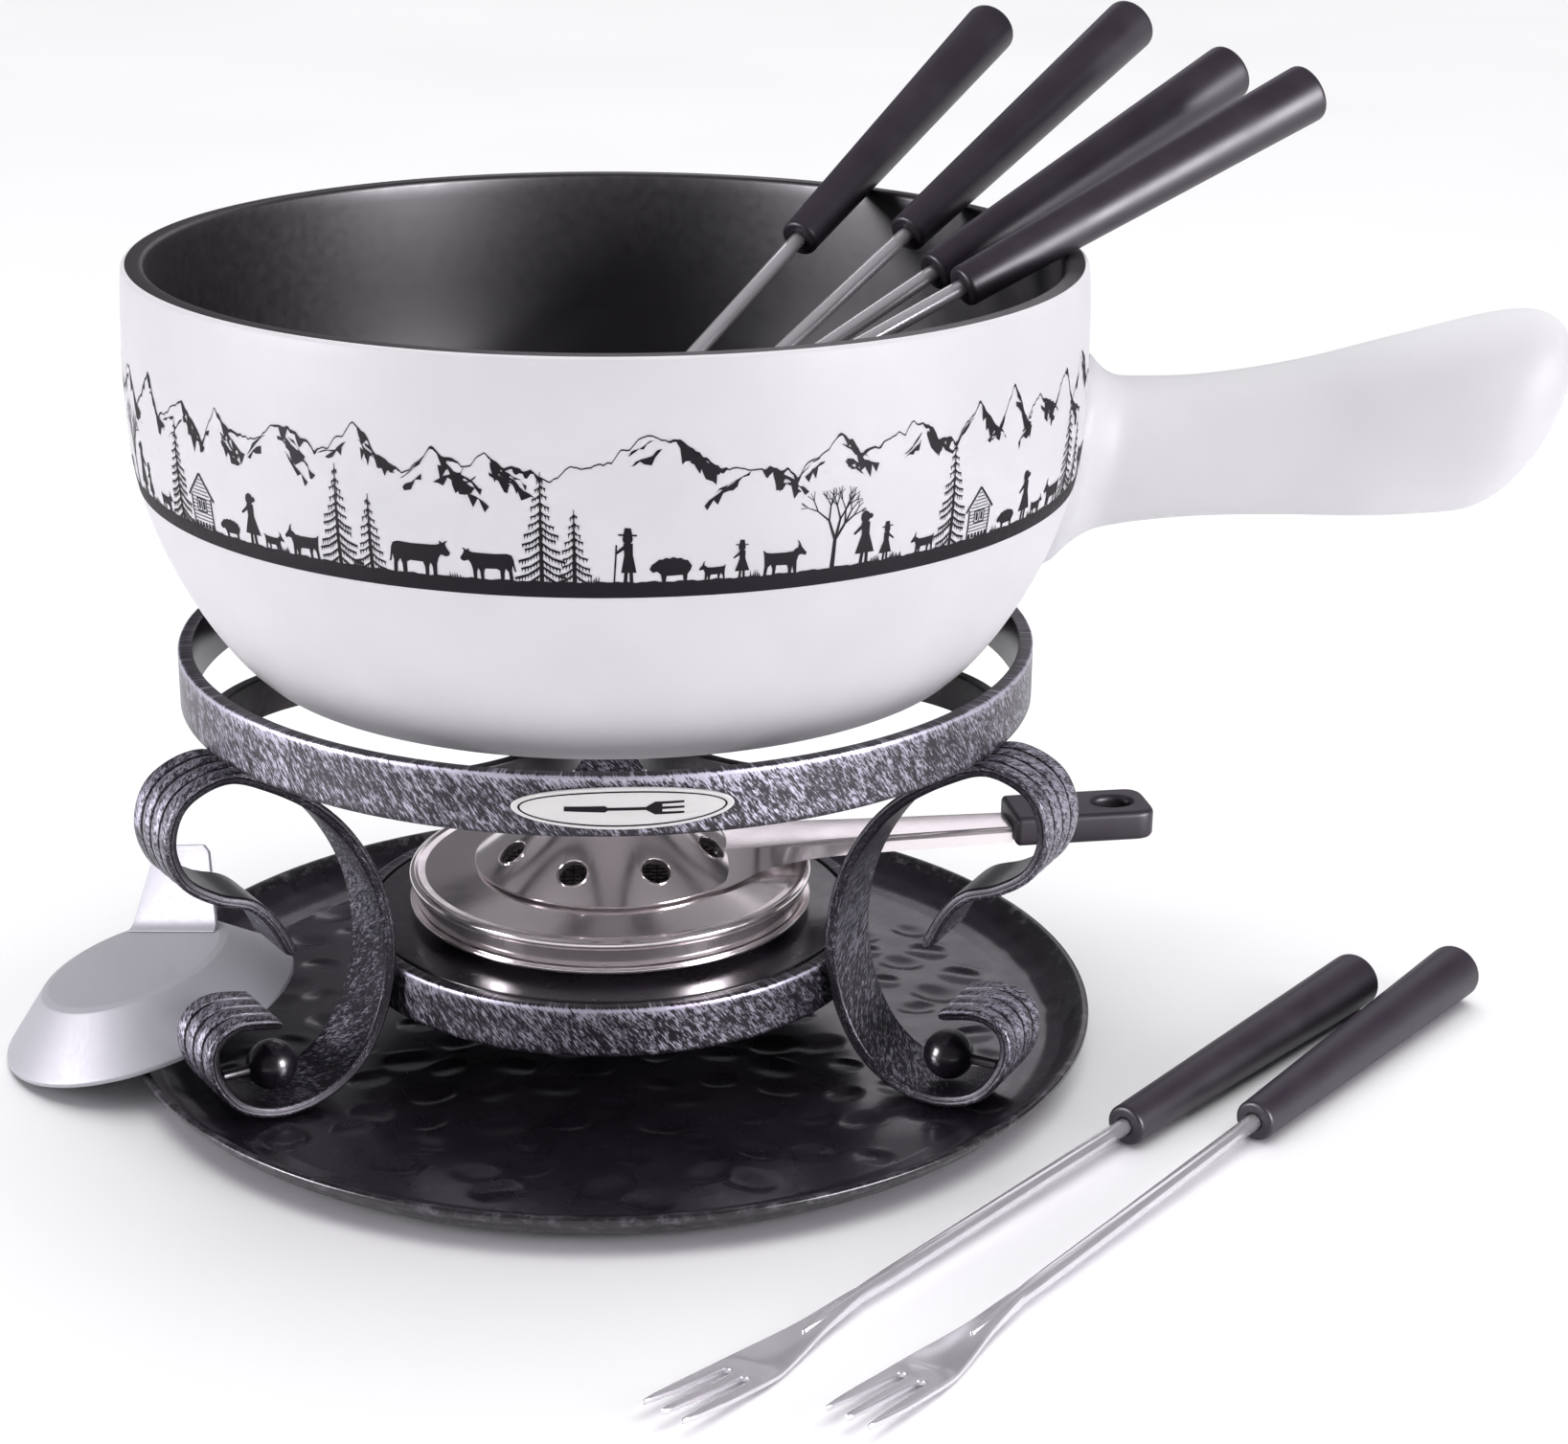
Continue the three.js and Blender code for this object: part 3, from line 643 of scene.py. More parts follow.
def leg(name, node):
    middle = centre_mm(node)
    angle = atan2(middle.y, middle.x)
    outward = Vector((cos(angle), sin(angle), 0))
    aside = Vector((-sin(angle), cos(angle), 0))
    path = catmull(LEG_PATH, LEG_SAMPLES)
    tangents = np.gradient(path, axis=0)
    tangents /= np.linalg.norm(tangents, axis=1)[:, None]
    step = np.linalg.norm(np.diff(path, axis=0), axis=1).mean()
    random = np.random.RandomState(int(degrees(angle)) % 360)
    knots = np.arange(0, LEG_SAMPLES + 8, 7)
    patches = np.interp(np.arange(LEG_SAMPLES + 1), knots, random.uniform(-1, 1, len(knots)))
    rings = []
    strokes = []
    silver = []
    for i, ((r, z), (tr, tz)) in enumerate(zip(path, tangents)):
        share = i / LEG_SAMPLES
        # the scrolls and the plain C between them, by their share of the strap's length
        upper_scroll = smoothstep(0.42, 0.3, share) * smoothstep(0.04, 0.12, share)
        groove = max(upper_scroll, smoothstep(0.78, 0.86, share))
        end = min(i, LEG_SAMPLES - i) * step
        pinch = 1 if end > LEG_TIP else (1 - (1 - end / LEG_TIP) ** 2) ** 0.5 * 0.45 + 0.55
        in_c = smoothstep(0.36, 0.5, share) * smoothstep(0.86, 0.74, share)
        ring = []
        for t, n in leg_section(groove):
            # the strap's outer face looks to the right of its run
            place = outward * (r + tz * n * pinch) + UP * (z - tr * n * pinch)
            ring.append(tuple(place + aside * t * (0.97 + 0.03 * pinch)))
            strokes.append((i * step + STROKE_SLANT * t, 40 * angle + n * 3, t))
            silver.append(leg_silver(t, n, groove, in_c) + 0.1 * patches[i])
        rings.append(ring)
    made = make_mesh(name, lofted(rings), BRUSHED_IRON, sharp=50)
    # the last two vertices close the strap's ends
    add_brush_marks(made.data, strokes + [strokes[0], strokes[-1]], silver + [0.5, 0.5])
    keep(made, "stand", "brushed_iron", node)


PIN_RADIUS = 1.3


def foot_ball(name, node):
    """A ball on a level pin that points outwards, to the wall of the foot scroll."""
    points = points_mm(node)
    low, high = box_mm(node)
    radius = (high.z - low.z) / 2
    outward = Vector((*points.mean(axis=0)[:2], 0)).normalized()
    aside = Vector((-outward.y, outward.x, 0))
    along = points @ np.array(outward)
    middle = outward * (along.min() + radius) + UP * (low.z + radius)
    pin_end = along.max() - along.min() - radius
    profile = [(radius * sin(a), -radius * cos(a)) for a in np.linspace(0, 2.86, 48)]
    profile += [(PIN_RADIUS + 0.1, radius), (PIN_RADIUS, radius + 0.5), (PIN_RADIUS, pin_end), (0, pin_end)]
    vertices, faces = turned(profile, 64)
    moved = [tuple(middle + aside * x + outward * z + UP * y) for x, y, z in vertices]
    keep(make_mesh(name, (moved, faces), BLACK_ENAMEL), "stand", "black_enamel", node)


REST_RADIUS = 43
REST_CENTRE = 71  # from the stand's axis
REST_STRAP = 3
REST_HEIGHT = 10


def pot_rest(name, node, inside):
    """A strap on edge, bent round like a horseshoe and welded by both ends inside the top ring."""
    low, _ = box_mm(node)
    middle = centre_mm(node)
    angle = radians(90 * round((degrees(atan2(middle.y, middle.x)) - 45) / 90) + 45)
    reach = inside - 1.1
    start = np.arccos((reach**2 - REST_CENTRE**2 - REST_RADIUS**2) / (2 * REST_CENTRE * REST_RADIUS))
    half = REST_STRAP / 2
    section = [(-half, 0), (half, 0), (half, REST_HEIGHT), (-half, REST_HEIGHT)]
    section = rounded(section, 0.5, closed=True, steps=4)
    rings = []
    for turn in np.linspace(start, 2 * pi - start, 120):
        ring = []
        for across, up in section:
            x = REST_CENTRE + (REST_RADIUS + across) * cos(turn)
            y = (REST_RADIUS + across) * sin(turn)
            ring.append((x * cos(angle) - y * sin(angle), x * sin(angle) + y * cos(angle), low.z + up))
        rings.append(ring)
    keep(make_mesh(name, lofted(rings), INNER_IRON), "stand", "inner_iron", node)


def burner_plate():
    low, high = box_mm("burner_plate")
    profile = [(0, low.z), (high.x, low.z), (high.x, high.z), (0, high.z)]
    plate = make_mesh("burner_plate_disc", turned(rounded(profile, [0, 0.6, 0.7, 0])), BLACK_ENAMEL)
    keep(plate, "stand", "black_enamel", "burner_plate")


def bend_round(thing, radius, height, angle):
    """Bends a flat piece round a cylinder: its X runs round, its Y goes up and its Z points outwards."""
    with editing(thing.data) as shape:
        slice_up(shape, 1.5 * MM, 0)
        for vertex in shape.verts:
            x, y, z = vertex.co / MM
            turn = angle + x / radius
            vertex.co = Vector(((radius + z) * cos(turn), (radius + z) * sin(turn), height + y)) * MM


def ring_label():
    """A plain oval label with a border line and a plain fork, in the middle of the ring's front."""
    low, high = box_mm("ring_label")
    middle = (low + high) / 2
    distances = from_axis(points_mm("ring_label"))
    inner, outer = distances.min(), distances.max()
    angle = atan2(middle.y + 2, middle.x)
    half = (high.z - low.z) / 2
    plate = flat_shape("ring_label_oval", [ellipse(24.8, half)], outer - inner, 0.25, LABEL_FACE)
    bend_round(plate, (inner + outer) / 2, middle.z, angle)
    plate.data.shade_smooth()
    keep(plate, "stand", "label", "ring_label")
    border = [ellipse(23.3, half - 0.75), ellipse(22.8, half - 1.1)]
    for name, outlines in (("ring_label_border", border), ("ring_label_fork", [label_fork()])):
        mark = flat_shape(name, outlines, 0.08, 0, PRINT_BLACK)
        bend_round(mark, outer + 0.02, middle.z, angle)
        keep(mark, "stand", "label")


def label_fork():
    """Outline of a small fork lying on its side, with three tines."""
    side = [(-13, 0.55), (-4, 0.75), (-3.4, 0.35), (5, 0.35), (7, 1.5), (13.5, 1.5), (13.5, 1.0), (8.6, 0.9)]
    side += [(8.6, 0.3), (13.5, 0.25)]
    return side + [(x, -y) for x, y in reversed(side)]


# ---- Burner ----

SHEET = 0.8
CONE_FOOT = Vector((34.2, 46.4))
CONE_TOP = Vector((17.5, 58.0))
VENT_COUNT = 8
VENT_RADIUS = 3.8
VENT_CIRCLE = 26.5  # radius of the ring of vents
VENT_PHASE = -88  # degrees
REGULATOR_GAP = 0.5  # between the burner's cone and the regulator's


def off_cone(point, distance):
    """A point of radius and height moved square to the burner's cone."""
    slope = (CONE_TOP - CONE_FOOT).normalized()
    return Vector((point.x + slope.y * distance, point.y - slope.x * distance))


def at_vents(profile, distance=0.0, closed=False):
    """A turned profile stood on each vent of a cone at that distance off the burner's cone."""
    share = (CONE_FOOT.x - VENT_CIRCLE) / (CONE_FOOT.x - CONE_TOP.x)
    middle = off_cone(CONE_FOOT + (CONE_TOP - CONE_FOOT) * share, distance)
    normal = off_cone(Vector((0, 0)), 1)
    vertices, faces = turned(profile, 40, closed)
    shapes = []
    for i in range(VENT_COUNT):
        turn = radians(VENT_PHASE + (i + 0.5) * 360 / VENT_COUNT)
        place = Vector((middle.x * cos(turn), middle.x * sin(turn), middle.y))
        way = Vector((normal.x * cos(turn), normal.x * sin(turn), normal.y)).normalized()
        swing = UP.rotation_difference(way)
        shapes.append(([tuple(swing @ Vector(v) + place) for v in vertices], faces))
    return merged(shapes)


def vented(name, profile, radii, steps):
    """A turned sheet with the vents cut through it."""
    sheet = turned(rounded(profile, radii, closed=True, steps=steps), BURNER_STEPS, closed=True)
    cutters = at_vents([(0, -4), (VENT_RADIUS, -4), (VENT_RADIUS, 4), (0, 4)])
    cutters = make_mesh("vent_cutters", cutters, POLISHED_STEEL)
    return combined(make_mesh(name, sheet, POLISHED_STEEL), cutters, "DIFFERENCE")


def burner_pan():
    low, high = box_mm("burner_pan")
    bottom, inside = low.z, low.z + SHEET
    profile = [(0, bottom), (44, bottom), (48.5, bottom + 1.5), (high.x, high.z - 1), (high.x, high.z)]
    profile += [(48.4, high.z), (47.9, bottom + 2.3), (43.6, inside), (0, inside)]
    profile = rounded(profile, [0, 3, 1, 0.45, 0.45, 0.6, 0.6, 3, 0])
    pan = make_mesh("burner_pan_dish", turned(profile, BURNER_STEPS), POLISHED_STEEL)
    keep(pan, "burner", "polished_steel", "burner_pan")


def burner_top():
    low, high = box_mm("burner_top")
    radius, bottom = high.x, low.z
    # up the outside of the beaded rim, over the shelf and up the cone, then back inside
    profile = [
        (radius - 1.7, bottom), (radius - 0.8, 42.9), (radius, 43.7), (radius, 44.9), (radius - 1.1, 45.6),
        (49.4, 45.1), (47.6, 45.0), CONE_FOOT, CONE_TOP, off_cone(CONE_TOP, -SHEET),
        (33.8, 45.6), (47.4, 44.2), (49.8, 44.2), (49.8, bottom),
    ]
    radii = [0.3, 0.8, 0.9, 0.9, 0.8, 1, 1.2, 2.5, 0.35, 0.35, 2, 0.6, 0.5, 0.3]
    keep(vented("burner_top_shell", profile, radii, 6), "burner", "polished_steel", "burner_top")


SCREEN_WIRE = 0.19
SCREEN_PITCH = 2.4
SCREEN_EDGE = 0.38


def screen_wire(offset, half, phase, middle, along):
    """One wavy wire of the screen, along X or along Y."""
    rings = []
    for s in np.linspace(-half, half, max(6, int(half * 2 / 0.6))):
        wave = 0.17 * cos(pi * s / SCREEN_PITCH + phase)
        ring = ellipse(SCREEN_WIRE, SCREEN_WIRE, 6, offset, middle + wave)
        rings.append([(s, across, up) if along else (across, s, up) for across, up in ring])
    return lofted(rings)


def burner_screen():
    """Woven wire over the pad, with a pressed edge."""
    low, high = box_mm("burner_screen")
    radius = high.x
    middle = (low.z + high.z) / 2
    edge = ellipse(SCREEN_EDGE, SCREEN_EDGE, 9, radius - 0.5, middle)
    shapes = [turned(edge, 96, closed=True)]
    count = int(radius / SCREEN_PITCH)
    for along in (0, 1):
        for k in range(-count, count + 1):
            offset = k * SCREEN_PITCH
            half = max((radius - 0.6) ** 2 - offset**2, 4) ** 0.5
            shapes.append(screen_wire(offset, half, pi * (k + along), middle, along))
    # the weave's near black colour is painted shade seen through the vents
    screen = make_mesh("burner_screen_weave", merged(shapes), SHADE_DARK_WIRE)
    keep(screen, "burner", "wire_screen", "burner_screen")


def burner_pad():
    """A felted disc with a soft edge and a slightly uneven top."""
    low, high = box_mm("burner_pad")
    radius, bottom, top = high.x, low.z, high.z - 0.2
    profile = rounded([(0, bottom), (radius, bottom), (radius, top), (0, top)], [0, 1.2, 2.2, 0], steps=8)
    vertices, faces = turned(evenly(profile, 70), 128)
    points = np.array(vertices, float)
    bumps = 0.15 * np.sin(points[:, 0] * 0.9 + 1.3) * np.sin(points[:, 1] * 0.8)
    points[:, 2] += np.where(points[:, 2] > (low.z + high.z) / 2, bumps - 0.02, 0)
    pad = make_mesh("burner_pad_felt", (points, faces), WICK_WOOL, sharp=180)
    keep(pad, "burner", "wick_wool", "burner_pad")


# The regulator's arm: place along it, half the width of its top and of its foot
ARM_STATIONS = [
    (19, 9.5, 29), (24, 9.5, 26.5), (28, 9.4, 24), (32, 9.3, 20.4), (36, 9.1, 16.6), (41, 8.8, 13.4),
    (47, 8.4, 10.9), (55, 8.0, 9.0), (66, 7.5, 8.0), (80, 7.0, 7.4), (94, 6.5, 6.85), (105, 6.1, 6.45),
]
ARM_END = 105.2
ARM_FOOT = 46.95


def regulator_angle():
    grip = centre_mm("regulator_grip")
    return atan2(grip.y, grip.x)


def cone_height(x, y):
    """Height of the regulator's inner face over a place, or 0 outside its cone."""
    foot = off_cone(CONE_FOOT, REGULATOR_GAP)
    top = off_cone(CONE_TOP, REGULATOR_GAP)
    r = hypot(x, y)
    return 0 if r > foot.x else foot.y + (foot.x - r) * (top.y - foot.y) / (foot.x - top.x)


def regulator_arm():
    """A channel of sheet that grows out of the cone, wide at its foot, and narrows to the grip."""
    top = centre_mm("regulator_grip").z + SHEET / 2
    stations = np.array(ARM_STATIONS, float)
    places = np.concatenate([np.linspace(19, 60, 42), np.linspace(62, ARM_END, 20)])
    smooth = [np.interp(places, *catmull(stations[:, (0, k)], 120).T) for k in (1, 2)]
    turn = Matrix.Rotation(regulator_angle(), 3, "Z")
    rings = []
    for x, half, foot_half in zip(places, *smooth):
        foot = max(ARM_FOOT, cone_height(x, foot_half) + 0.05)
        corners = [(-foot_half, foot), (-half, top), (half, top), (foot_half, foot)]
        outer = rounded(corners, [0, 1.6, 1.6, 0], steps=6)
        inner = [(y * (1 - SHEET / foot_half), z - SHEET * 0.9) for y, z in reversed(outer)]
        inner[0] = (inner[0][0], foot)
        inner[-1] = (inner[-1][0], foot)
        rings.append([tuple(turn @ Vector((x, y, z))) for y, z in outer + inner])
    return make_mesh("regulator_arm", lofted(rings), POLISHED_STEEL)


def regulator():
    _, high = box_mm("regulator")
    crown = high.z
    outside = REGULATOR_GAP + SHEET
    foot_inner = off_cone(CONE_FOOT, REGULATOR_GAP)
    profile = [
        foot_inner, off_cone(CONE_FOOT, outside), off_cone(CONE_TOP, outside), (16.5, crown - 0.1),
        (14.5, crown), (14.5, crown - SHEET), (16.3, crown - 0.9), off_cone(CONE_TOP, REGULATOR_GAP),
    ]
    cone = vented("regulator_sheet", profile, [0.25, 0.35, 1.4, 0.6, 0.35, 0.35, 0.4, 1.0], 5)
    # the arm is cut off where it would reach under the cone
    under = [off_cone(end, REGULATOR_GAP + 0.1) for end in (CONE_FOOT, CONE_TOP)]
    under = turned([(0, 40), (foot_inner.x, 40), *under, (0, 62)], 96)
    arm = combined(regulator_arm(), make_mesh("under_cone", under, POLISHED_STEEL), "DIFFERENCE")
    angles = np.linspace(0, 2 * pi, 10)[:-1]
    lip = [(VENT_RADIUS + 0.1 + 0.24 * cos(a), 0.08 + 0.24 * sin(a)) for a in angles]
    lips = make_mesh("vent_lips", at_vents(lip, outside, closed=True), POLISHED_STEEL)
    keep(joined(cone, arm, lips), "regulator", "polished_steel", "regulator")


def regulator_grip():
    """A moulded grip with rounded corners and an oval hang hole."""
    angle = regulator_angle()
    x, y, z = points_mm("regulator_grip").T
    along = x * cos(angle) + y * sin(angle)
    start, stop = along.min(), along.max()
    half = (y * cos(angle) - x * sin(angle)).max()
    low, high = z.min(), z.max()
    corners = [(start, -half), (stop, -half), (stop, half), (start, half)]
    outline = rounded(corners, [1.6, 5.5, 5.5, 1.6], closed=True, steps=10)
    hole = ellipse(5.2, 3.6, 48, stop - 10)
    made = flat_shape("regulator_grip_moulding", [outline, hole], high - low, 1.5, BLACK_PLASTIC, 4)
    made.data.transform(Matrix.Translation((0, 0, (low + high) / 2 * MM)) @ Matrix.Rotation(angle, 4, "Z"))
    keep(smoothed(made, 50), "regulator", "black_plastic", "regulator_grip")


# ---- Pot ----

# Radius of the pot's outside and inside over the height above its foot
POT_SIDE = [(89.5, 1.5), (94.5, 6.5), (100.4, 14.7), (106, 24.7), (110.9, 36.2), (114.6, 49.7)]
POT_SIDE += [(116.0, 64.7), (116.05, 84.7), (115.6, 96.1)]
POT_INSIDE = [(109.8, 96.1), (110, 66.7), (108.2, 49.7), (104.6, 36.2), (99.8, 24.7), (94, 14.7)]
POT_INSIDE += [(87, 8.1), (79, 6)]
POT_LIP = [(115.6, 96.1), (115.3, 99.0), (112.7, 99.1), (110.0, 99.0), (109.8, 96.1)]
LIP_ROWS_WHITE = 7
# The handle's top X and Z, bottom X and Z, and half width
HANDLE_SECTIONS = [
    (112.5, 173.5, 103, 130, 17), (128, 172.8, 122, 135.6, 16), (147, 173.3, 143, 138, 15.5),
    (170, 176.8, 165, 138.4, 16), (195, 183, 186, 138, 17.5), (218, 188.6, 203, 138.6, 18.5),
    (230, 189.2, 213, 139.8, 18), (236.2, 184.5, 220, 143.5, 15), (237.5, 178, 226.5, 149.5, 10),
    (237.2, 171.5, 231.5, 157, 5),
]
HANDLE_END = 237.6
HANDLE_SQUARENESS = 2 / 2.25  # an ellipse's sine and cosine to this power make its sides fuller

POT_LOW, POT_HIGH = box_mm("pot")
POT_X = POT_HIGH.x - HANDLE_END
POT_FOOT = POT_LOW.z
SIDE_CURVE = catmull(POT_SIDE, 60)


def side_radius(height):
    """Radius of the pot's outside at a height in the frame."""
    return float(np.interp(height - POT_FOOT, SIDE_CURVE[:, 1], SIDE_CURVE[:, 0]))


def pot_handle():
    rings = []
    for top_x, top_z, bottom_x, bottom_z, half in catmull(HANDLE_SECTIONS, 72):
        middle_x = (top_x + bottom_x) / 2
        flare = 5.5 * max(0, 1 - max(0, middle_x - 113) / 11) ** 2
        rise = Vector((top_x - bottom_x, top_z - bottom_z))
        tall = rise.length / 2 + flare
        rise.normalize()
        ring = []
        for c, s in ellipse(1, 1, 80):
            across = np.copysign(abs(c) ** HANDLE_SQUARENESS, c) * (half + flare)
            up = np.copysign(abs(s) ** HANDLE_SQUARENESS, s) * tall
            ring.append((middle_x + rise.x * up + POT_X, across, (top_z + bottom_z) / 2 + rise.y * up))
        rings.append(ring)
    return make_mesh("pot_handle_arm", lofted(rings), WHITE_GLAZE, BLACK_GLAZE)


def at_pot(shape):
    vertices, faces = shape
    return [(x + POT_X, y, z + POT_FOOT) for x, y, z in vertices], faces


def pot():
    outside = rounded([(0, 0), (84, 0), (89.5, 1.5)], [0, 4, 0]) + list(SIDE_CURVE[1:])
    lip = rounded(POT_LIP, [0, 1.5, 0, 2.2, 0], steps=8)[1:]
    inside = list(catmull(POT_INSIDE, 60)[1:]) + [(40, 6), (0, 6)]
    shape = at_pot(turned(outside + lip + inside))
    black_from = (len(outside) + LIP_ROWS_WHITE) * TURN_STEPS
    slots = [int(i >= black_from) for i in range(len(shape[1]))]
    bowl = make_mesh("pot_casting", shape, WHITE_GLAZE, BLACK_GLAZE, slots=slots, sharp=60)
    # the handle is cut off inside the wall before the two are joined
    wall_middle = [(r - 2.8, z) for r, z in SIDE_CURVE]
    space = at_pot(turned([(0, 1.5)] + wall_middle + [(112.9, 120), (0, 120)], 180))
    arm = combined(pot_handle(), make_mesh("bowl_space", space, WHITE_GLAZE), "DIFFERENCE")
    keep(smoothed(combined(bowl, arm, "UNION"), 60), "pot", "pot_glaze", "pot")


# ---- Frieze ----

# A thin print of plain alpine silhouettes of our own, drawn in millimetres with their feet at (0, 0), on a
# strip of ground
FRIEZE_AROUND = 2 * pi * 116.2
GROUND_BOTTOM = 152.3  # heights in the frame
GROUND_TOP = 156.0
PRINT_LIFT = 0.1
HANDLE_CLEAR = 21  # half the width left free for the pot's handle
OVER_HANDLE = 22  # height over the ground from which mountains are drawn above the handle

COW = [
    (0.9, 0), (1.9, 0), (2.1, 2.4), (2.9, 3.5), (3.3, 2.2), (3.4, 0), (4.4, 0), (4.5, 2.8), (5.4, 3.3),
    (8.6, 3.2), (9.0, 2.0), (9.0, 0), (9.9, 0), (10.1, 2.4), (10.5, 3.2), (10.9, 2.2), (11.0, 0),
    (11.9, 0), (12.1, 3.0), (12.6, 4.6), (13.2, 5.4), (14.4, 5.0), (15.2, 5.3), (15.4, 6.0),
    (14.6, 7.2), (14.3, 8.1), (14.9, 8.9), (14.2, 8.6), (13.6, 8.2), (12.9, 8.8), (12.9, 8.0),
    (12.2, 7.7), (11.0, 7.6), (6.0, 7.5), (2.4, 7.7), (1.2, 7.3), (0.7, 6.2), (0.3, 3.6), (0.0, 2.6),
    (0.5, 2.7), (1.0, 4.6), (1.2, 3.0),
]
GOAT = [
    (0.4, 0), (1.0, 0), (1.3, 1.7), (1.9, 2.3), (2.3, 1.3), (2.3, 0), (2.9, 0), (3.1, 2.0), (5.4, 1.9),
    (5.7, 1.0), (5.8, 0), (6.4, 0), (6.6, 1.7), (7.0, 0), (7.6, 0), (7.5, 2.6), (7.9, 3.8), (8.6, 3.9),
    (9.4, 3.6), (9.6, 4.2), (8.9, 5.0), (8.5, 5.5), (8.0, 6.6), (7.5, 7.1), (7.8, 6.2), (7.7, 5.4),
    (7.1, 5.2), (6.7, 4.7), (5.0, 4.6), (2.0, 4.7), (0.9, 4.9), (0.2, 5.5), (0.4, 4.6), (0.5, 3.6),
    (0.6, 2.0),
]
SHEEP = [
    (1, 0), (1.6, 0), (1.8, 1.3), (4.8, 1.2), (5, 0), (5.6, 0), (5.9, 1.5), (6.6, 2.1), (7.4, 1.9),
    (8.0, 2.6), (7.6, 3.4), (6.9, 3.9), (6.2, 4.5), (5.6, 4.4), (5.0, 4.8), (4.3, 4.6), (3.6, 4.9),
    (2.9, 4.6), (2.2, 4.7), (1.6, 4.3), (0.9, 4.2), (0.5, 3.6), (0.1, 3.1), (0.4, 2.2), (0.9, 1.5),
]
ANIMALS = {"cow": COW, "goat": GOAT, "sheep": SHEEP}
# What stands on the ground, in order: its kind, its size and the ground it takes
PARADE = [
    ("man", 11.5, 7), ("sheep", 1.15, 11), ("goat", 0.6, 7), ("girl", 8.5, 6), ("goat", 1.1, 13),
    ("tree", 19, 10), ("woman", 12.5, 6), ("girl", 8, 5), ("grass", 1, 4), ("goat", 0.7, 8),
    ("fir", 23, 9), ("hut", 0.95, 11), ("sheep", 0.9, 9), ("woman", 12, 7), ("goat", 0.65, 6),
    ("goat", 1.0, 11), ("fir", 23.5, 9), ("fir", 17, 7), ("cow", 0.95, 16), ("cow", 0.8, 15),
    ("fir", 23.5, 8), ("fir", 16.5, 6), ("grass", 1, 5),
]


def bar(x0, y0, x1, y1, width0, width1=None):
    """A tapered line between two places."""
    width1 = width0 if width1 is None else width1
    run = Vector((x1 - x0, y1 - y0)).normalized()
    side = Vector((-run.y, run.x))
    a, b = side * width0 / 2, side * width1 / 2
    return [(x0 + a.x, y0 + a.y), (x0 - a.x, y0 - a.y), (x1 - b.x, y1 - b.y), (x1 + b.x, y1 + b.y)]


def person(height, skirt, hat):
    """Outlines of a plain standing figure."""
    hem = 2.4 if skirt else 1.7
    parts = [
        [(-hem, 2.4), (hem, 2.4), (1.0, 6.6), (1.2, 9.3), (-0.9, 9.3), (-0.9, 6.6)],
        bar(-0.6, 0, -0.5, 2.6, 0.8),
        bar(0.8, 0, 0.6, 2.6, 0.8),
        bar(0.6, 8.7, 2.9, 6.9, 0.9, 0.5),
        ellipse(1.15, 1.35, 12, 0.25, 10.4),
    ]
    if hat:
        parts += [bar(-1.8, 11.1, 2.3, 11.3, 0.4), [(-0.8, 11.2), (1.2, 11.3), (0.9, 12.9), (-0.5, 12.8)]]
    else:
        parts.append(ellipse(0.65, 0.6, 8, -1.0, 10.5))
    return [[(x * height / 12, y * height / 12) for x, y in part] for part in parts]


def fir(height, spread, random):
    """A trunk, and drooping branches with needles that hang from them."""
    outlines = [bar(0, 0, 0, height, 0.95, 0.15)]
    tiers = int(height / 1.75)
    for k in range(tiers):
        for side in (-1, 1):
            out = (0.5 + spread * (k + 0.5) / tiers) * random.uniform(0.8, 1.15)
            root = height * (1 - (k + 0.8) / (tiers + 0.8)) + random.uniform(-0.3, 0.3)
            needles = max(2, int(out / 0.6))
            under = []
            for j in range(needles):
                x = out * (1 - (j + 0.4) / needles)
                y = root - 0.62 * x * (1.45 - 0.65 * x / out)
                under += [(x + 0.12, y - 0.2), (x + 0.05, y - random.uniform(0.7, 1.3)), (x - 0.2, y - 0.2)]
            over = [(0, root + 0.3), (out / 2, root - 0.3 * out), (out, root - 0.46 * out)]
            outlines.append([(side * x, y) for x, y in over + under])
    return outlines


def bare_tree(height, random):
    """Bars for a trunk and branches without leaves."""
    bars = []

    def grow(x, y, angle, length, width, depth):
        x1 = x + length * sin(angle)
        y1 = y + length * cos(angle)
        bars.append(bar(x, y, x1, y1, width, width * 0.72))
        if depth == 0:
            return
        for k in range(2 + (random.rand() > 0.55)):
            turn = (-0.42, 0.4, 0.05)[k] + random.uniform(-0.16, 0.16)
            grow(x1, y1, angle + turn, length * random.uniform(0.62, 0.8), width * 0.62, depth - 1)

    grow(0, 0, 0.04, height * 0.34, 1.1, 4)
    return bars


def chalet():
    """Bars for a log hut: planks, a pitched roof, a window and a stone foot."""
    wide, wall, ridge = 8.4, 7.6, 12.8
    bars = [bar(0.3, 0, 0.3, wall, 0.45), bar(wide - 0.3, 0, wide - 0.3, wall, 0.45)]
    bars += [bar(eave, wall - 0.5, wide / 2, ridge, 0.6) for eave in (-0.9, wide + 0.9)]
    for k in range(12):
        y = 2.0 + 0.85 * k
        inset = 0.5 if y < wall else 0.5 + (y - wall) * (wide / 2) / (ridge - wall)
        if 4 < y < 7:
            bars += [bar(inset, y, 2.3, y, 0.2), bar(wide - 2.3, y, wide - inset, y, 0.2)]
        elif inset < wide / 2 - 0.4:
            bars.append(bar(inset, y, wide - inset, y, 0.2))
    bars += [bar(x, 3.9, x, 7.0, 0.3) for x in (2.4, 4.2, 6.0)]
    bars += [bar(2.4, y, 6.0, y, 0.3) for y in (4.0, 6.9)]
    bars += [bar(x, 4.5, x, 6.5, 0.7) for x in (3.3, 5.1)]
    for x in [1.25 * k for k in range(6)]:
        bars.append([(x + 0.6, 0.2), (x + 1.6, 0.2), (x + 1.4, 1.3), (x + 0.8, 1.4)])
    return bars


